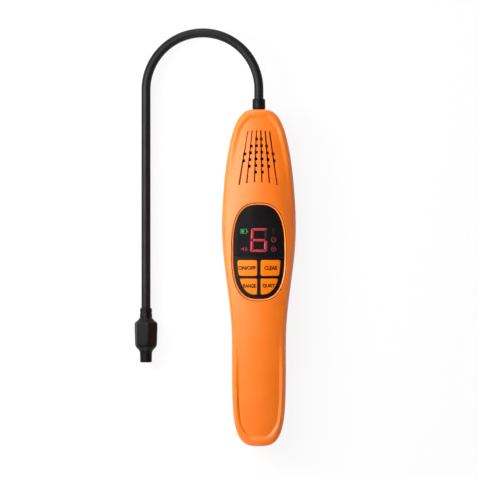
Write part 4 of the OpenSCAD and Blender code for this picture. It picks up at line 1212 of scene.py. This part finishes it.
# %% Small signs
MARK_X, RING_X, RING_RISE = 10.2, 9.9, 0.3
HIGH_ROW, MIDDLE_ROW, LOW_ROW = 6.0, 0.0, -6.1
ALARM_SCALE, BATTERY_SCALE = 0.84, 0.92
WAVE_SHIFT = [0.1, 0]

battery = [
    bar(-2.7, 1.3, 2.1, 1.7), bar(-2.7, -1.7, 2.1, -1.3), bar(-2.7, -1.3, -2.3, 1.3),
    bar(1.7, -1.3, 2.1, 1.3), bar(-1.9, -0.9, 0.2, 0.9), bar(2.2, -0.7, 2.8, 0.7),
]
bell_mouth = np.array([[[-1.2, -0.7], [0.1, -1.9]], [[-1.2, 0.7], [0.1, 1.9]]])
waves = [arc(radius, 0.45, -50, 50) + WAVE_SHIFT for radius in (1.3, 2.3)]
horn = [bar(-2.4, -0.7, -1.3, 0.7), bell_mouth, *waves]
ring = arc(1.85, 0.5, 0, 360, 49)
dot = arc(0.35, 0.7, 0, 360, 25)
slash = np.array([[[-0.9, -1.15], [0.9, 0.75]], [[-0.9, -0.75], [0.9, 1.15]]])
alarm = [(-MARK_X, LOW_ROW, ALARM_SCALE * strip) for strip in horn]
alarm += [(RING_X, MIDDLE_ROW + RING_RISE, ALARM_SCALE * strip) for strip in (ring, slash)]
alarm += [(RING_X, LOW_ROW, ALARM_SCALE * strip) for strip in (ring, dot)]
charge = [(-MARK_X, HIGH_ROW, BATTERY_SCALE * strip) for strip in battery]
idle = [bar(-1.1, middle - 0.25, 1.1, middle + 0.25) for middle in (1.45, 0, -1.45)]
sign("battery_sign", charge, lit_green, "battery_mark", "lit_green")
sign("alarm_signs", alarm, dim_red, "alarm_marks", "lit_red")
sign("idle_sign", [(MARK_X, HIGH_ROW, strip) for strip in idle], unlit_grey, "idle_mark", "unlit")

# %% [markdown]
# ## The gooseneck
# The probe hangs on a gooseneck: a steel spiral in a smooth black sleeve that stays where it is bent. It
# leaves the head, turns over in a half circle and comes back down beside the handset, sinking a little on
# the way so that the tip touches the table. A bevelled curve could draw it, but has to be turned into a mesh
# afterwards. A circle carried along the path in numpy gives even quads at once.

# %% Gooseneck sleeve
GLAND_SEAT, GLAND_LENGTH = LENGTH - 0.5, 8
SPRING_LINE = GLAND_SEAT + GLAND_LENGTH + 6.4
NECK_ARCH, NECK_LEG, NECK_DIAMETER = 39, 149.9, 6.3
TIP_STATION = SPRING_LINE - NECK_LEG
CAP_RADIUS, CAP_TURN = 8.4, 13.5
CAP_CORNER = CAP_RADIUS - 0.05
TIP_HEIGHT = CAP_CORNER * np.cos(np.radians(30 - CAP_TURN))
DROOP = np.arcsin((PARTING - TIP_HEIGHT) / (2 * NECK_ARCH))
TIP_X = -2 * NECK_ARCH * np.cos(DROOP)
NECK_SIDES, SLEEVE_WALL = 56, 0.8
NECK_IN_GLAND, NECK_IN_FERRULE = 4, 3  # lengths of the sleeve inside the pieces at its ends
UP_STEPS, ARCH_STEPS, DOWN_STEPS = 9, 129, 60


def neck_path():
    """Points and directions in the tilted plane of the arch: straight up, half a circle, straight down."""
    up = np.linspace(GLAND_SEAT - NECK_IN_GLAND, SPRING_LINE, UP_STEPS)[:-1]
    turn = np.linspace(0, np.pi, ARCH_STEPS)
    down = np.linspace(SPRING_LINE, TIP_STATION - NECK_IN_FERRULE, DOWN_STEPS)[1:]
    x = np.concatenate([0 * up, NECK_ARCH * (np.cos(turn) - 1), 0 * down - 2 * NECK_ARCH])
    s = np.concatenate([up, SPRING_LINE + NECK_ARCH * np.sin(turn), down])
    heading = np.concatenate([0 * up, turn, 0 * down + np.pi])
    return x, s, heading


def tube(radius, sides):
    """Circle carried along the path: its plane is spanned by the direction across the path in the arch's
    plane and by that plane's normal, and the plane is tilted about the gland."""
    x, s, heading = (p[:, None] for p in neck_path())
    turn = full_turn(sides)
    across, out = radius * np.cos(turn), radius * np.sin(turn)
    flat_x, flat_s = x + across * np.cos(heading), s + across * np.sin(heading)
    tilted_x = flat_x * np.cos(DROOP) - out * np.sin(DROOP)
    tilted_z = PARTING + flat_x * np.sin(DROOP) + out * np.cos(DROOP)
    return placed(tilted_x, flat_s, tilted_z), grid_faces(len(x), sides, wrap=True)


new_piece(
    "gooseneck_skin", *tube(NECK_DIAMETER / 2, NECK_SIDES), sleeve_black, "handset", ["gooseneck_sleeve"],
    "sleeve", SLEEVE_WALL,
)

# %% [markdown]
# ## Gland and ferrule
# The gland holds the gooseneck in the head, and the ferrule carries the sensor at its other end. Stacked
# cylinders with bevels could make them, but every step would be a piece of its own. Here a profile gives
# the radius at a few distances, and an average over a short window rounds every corner, as a mould does.

# %% Turned pieces
TURNS, WINDOW_POINTS = 96, 15


def rounded_profile(distance, radius, window, count=140):
    """The profile's straight lines, averaged over a window of that length."""
    fine = np.linspace(distance[0], distance[-1], count)
    offsets = np.linspace(-window / 2, window / 2, WINDOW_POINTS)
    return fine, np.interp(fine[:, None] + offsets, distance, radius).mean(axis=1)


def turned(x, s, z, distance, radius, bore, direction):
    """Rings at distances along Y: out along the outer radius, one value or one for each direction, then
    back along the bore's corners (distance, radius) to the first ring."""
    turn = full_turn(TURNS)
    radius = np.broadcast_to(radius, (len(distance), TURNS))
    bore_at, bore_radius = np.array(bore).T
    bore_radius = np.repeat(bore_radius[:, None], TURNS, axis=1)
    radius = np.concatenate([radius, bore_radius, radius[:1]])
    distance = np.concatenate([distance, bore_at, distance[:1]])[:, None]
    points = placed(x + radius * np.cos(turn), s + direction * distance, z + radius * np.sin(turn))
    return points, grid_faces(len(radius), TURNS, wrap=True)


print("quads round a turned piece:", TURNS)

# %% Gland and ferrule
SPIGOT, NECK_BORE = 3.3, NECK_DIAMETER / 2 + 0.02

gland_at, gland_radius = rounded_profile(
    np.array([-4.6, -2.8, -2.6, -0.7, -0.6, 0.2, 0.3, 1.2, 1.3, 7.3, 7.8, 8.0]),
    np.array([5.4, 5.4, 3.85, 3.85, 4.5, 4.5, 4.2, 4.2, 4.5, 4.35, 4.05, 3.5]), window=0.3,
)
gland_bore = [(8.0, NECK_BORE), (-4.6, NECK_BORE)]
new_piece(
    "probe_gland_skin", *turned(0, GLAND_SEAT, PARTING, gland_at, gland_radius[:, None], gland_bore, 1),
    gland_black, "handset", ["probe_gland"], "gland",
)
ferrule_at, ferrule_radius = rounded_profile(
    np.array([0, 0.25, 1.0, 2.6, 2.8, 3.4, 3.6, 6.58, 6.6, 12.6]),
    np.array([3.25, 3.85, 4.15, 4.15, 3.95, 3.95, 4.15, 4.3, SPIGOT, SPIGOT]), window=0.1, count=260,
)
ferrule_bore = [(12.6, 1.05), (3.0, 1.05), (3.0, NECK_BORE), (0, NECK_BORE)]
new_piece(
    "probe_ferrule_skin",
    *turned(TIP_X, TIP_STATION, TIP_HEIGHT, ferrule_at, ferrule_radius[:, None], ferrule_bore, -1),
    tip_black, "handset", ["probe_ferrule"], "tip",
)

# %% [markdown]
# ## The sensor cap
# The cap guards the sensor, and its six flats give the fingers a hold to pull it off. A turned bulb cut by
# six planes would have hard edges. Here the radius in each direction is the soft least of the bulb's radius
# and the distance to a flat, so the edges between them are rounded.

# %% Sensor cap
CAP_START, CAP_LENGTH, NOZZLE = 6.75, 30.6, 4.15
FLAT_SHARPNESS = 36
bulb_at = np.array([0, 1.0, 2.05, 2.2, 2.4, 3.3, 4.4, 6.2, 8, 11.5, 17, 18.4, 20, 22.6, 23.8, 25, 30.2, 30.6])
collar = NOZZLE + np.array([0.15, 0.85, 1.95, 1.6, 2.25])
bulb = CAP_RADIUS - np.array([0.6, 0.15, 0, 0.05, 0.4, 0.6, 0.75, 1.4])
nozzle = NOZZLE + np.array([0.6, 0.1, 0, -0.1, -0.35])
bulb_radius = np.concatenate([collar, bulb, nozzle])
cap_bore = [(CAP_LENGTH, 2.7), (20, 2.7), (17, 5), (7, 5), (5, SPIGOT + 0.3), (0, SPIGOT + 0.3)]


def six_sided(radius, turn):
    """Soft least of a round radius and the distance to a hexagon's side, corners at the cap's turn."""
    corner = np.radians(90 - (30 - CAP_TURN))
    past = (turn - corner) % (np.pi / 3) - np.pi / 6
    side = CAP_CORNER * np.cos(np.pi / 6) / np.cos(past)
    return (radius[:, None] ** -FLAT_SHARPNESS + side**-FLAT_SHARPNESS) ** (-1 / FLAT_SHARPNESS)


cap_at, cap_radius = rounded_profile(bulb_at, bulb_radius, window=0.3, count=260)
cap_radius = six_sided(cap_radius, full_turn(TURNS))
new_piece(
    "sensor_cap_skin",
    *turned(TIP_X, TIP_STATION - CAP_START, TIP_HEIGHT, cap_at, cap_radius, cap_bore, -1),
    tip_black, "pull_off_cap", ["sensor_cap"], "tip",
)

# %% [markdown]
# ## Finishes for the solids that stay
# The small parts inside and the screws could be modelled again, but hardly any of them shows, and their
# solids are already true. So they stay as they are, and each only gets its finish.

# %% Finishes of the inner parts
KEPT = {
    part_black: [
        "power_plunger", "reset_plunger", "sensitivity_plunger", "mute_plunger", "switch_bases",
        "display_module", "buzzer", "battery_tray",
    ],
    board_green: ["main_board"],
    cell_jacket: ["left_cell", "right_cell"],
    steel: [
        "cell_springs", "cell_contacts", "case_screws", "board_screws", "tray_screws", "gooseneck_core",
        "sensor_can",
    ],
    socket_grey: ["lead_connector", "sensor_socket"],
    lead_red: ["probe_lead"],
    filter_felt: ["sensor_filter"],
}
for finish, names in KEPT.items():
    for name in names:
        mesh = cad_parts[name].data
        mesh.materials.clear()
        mesh.materials.append(finish)
print("solids kept:", sum(len(names) for names in KEPT.values()))
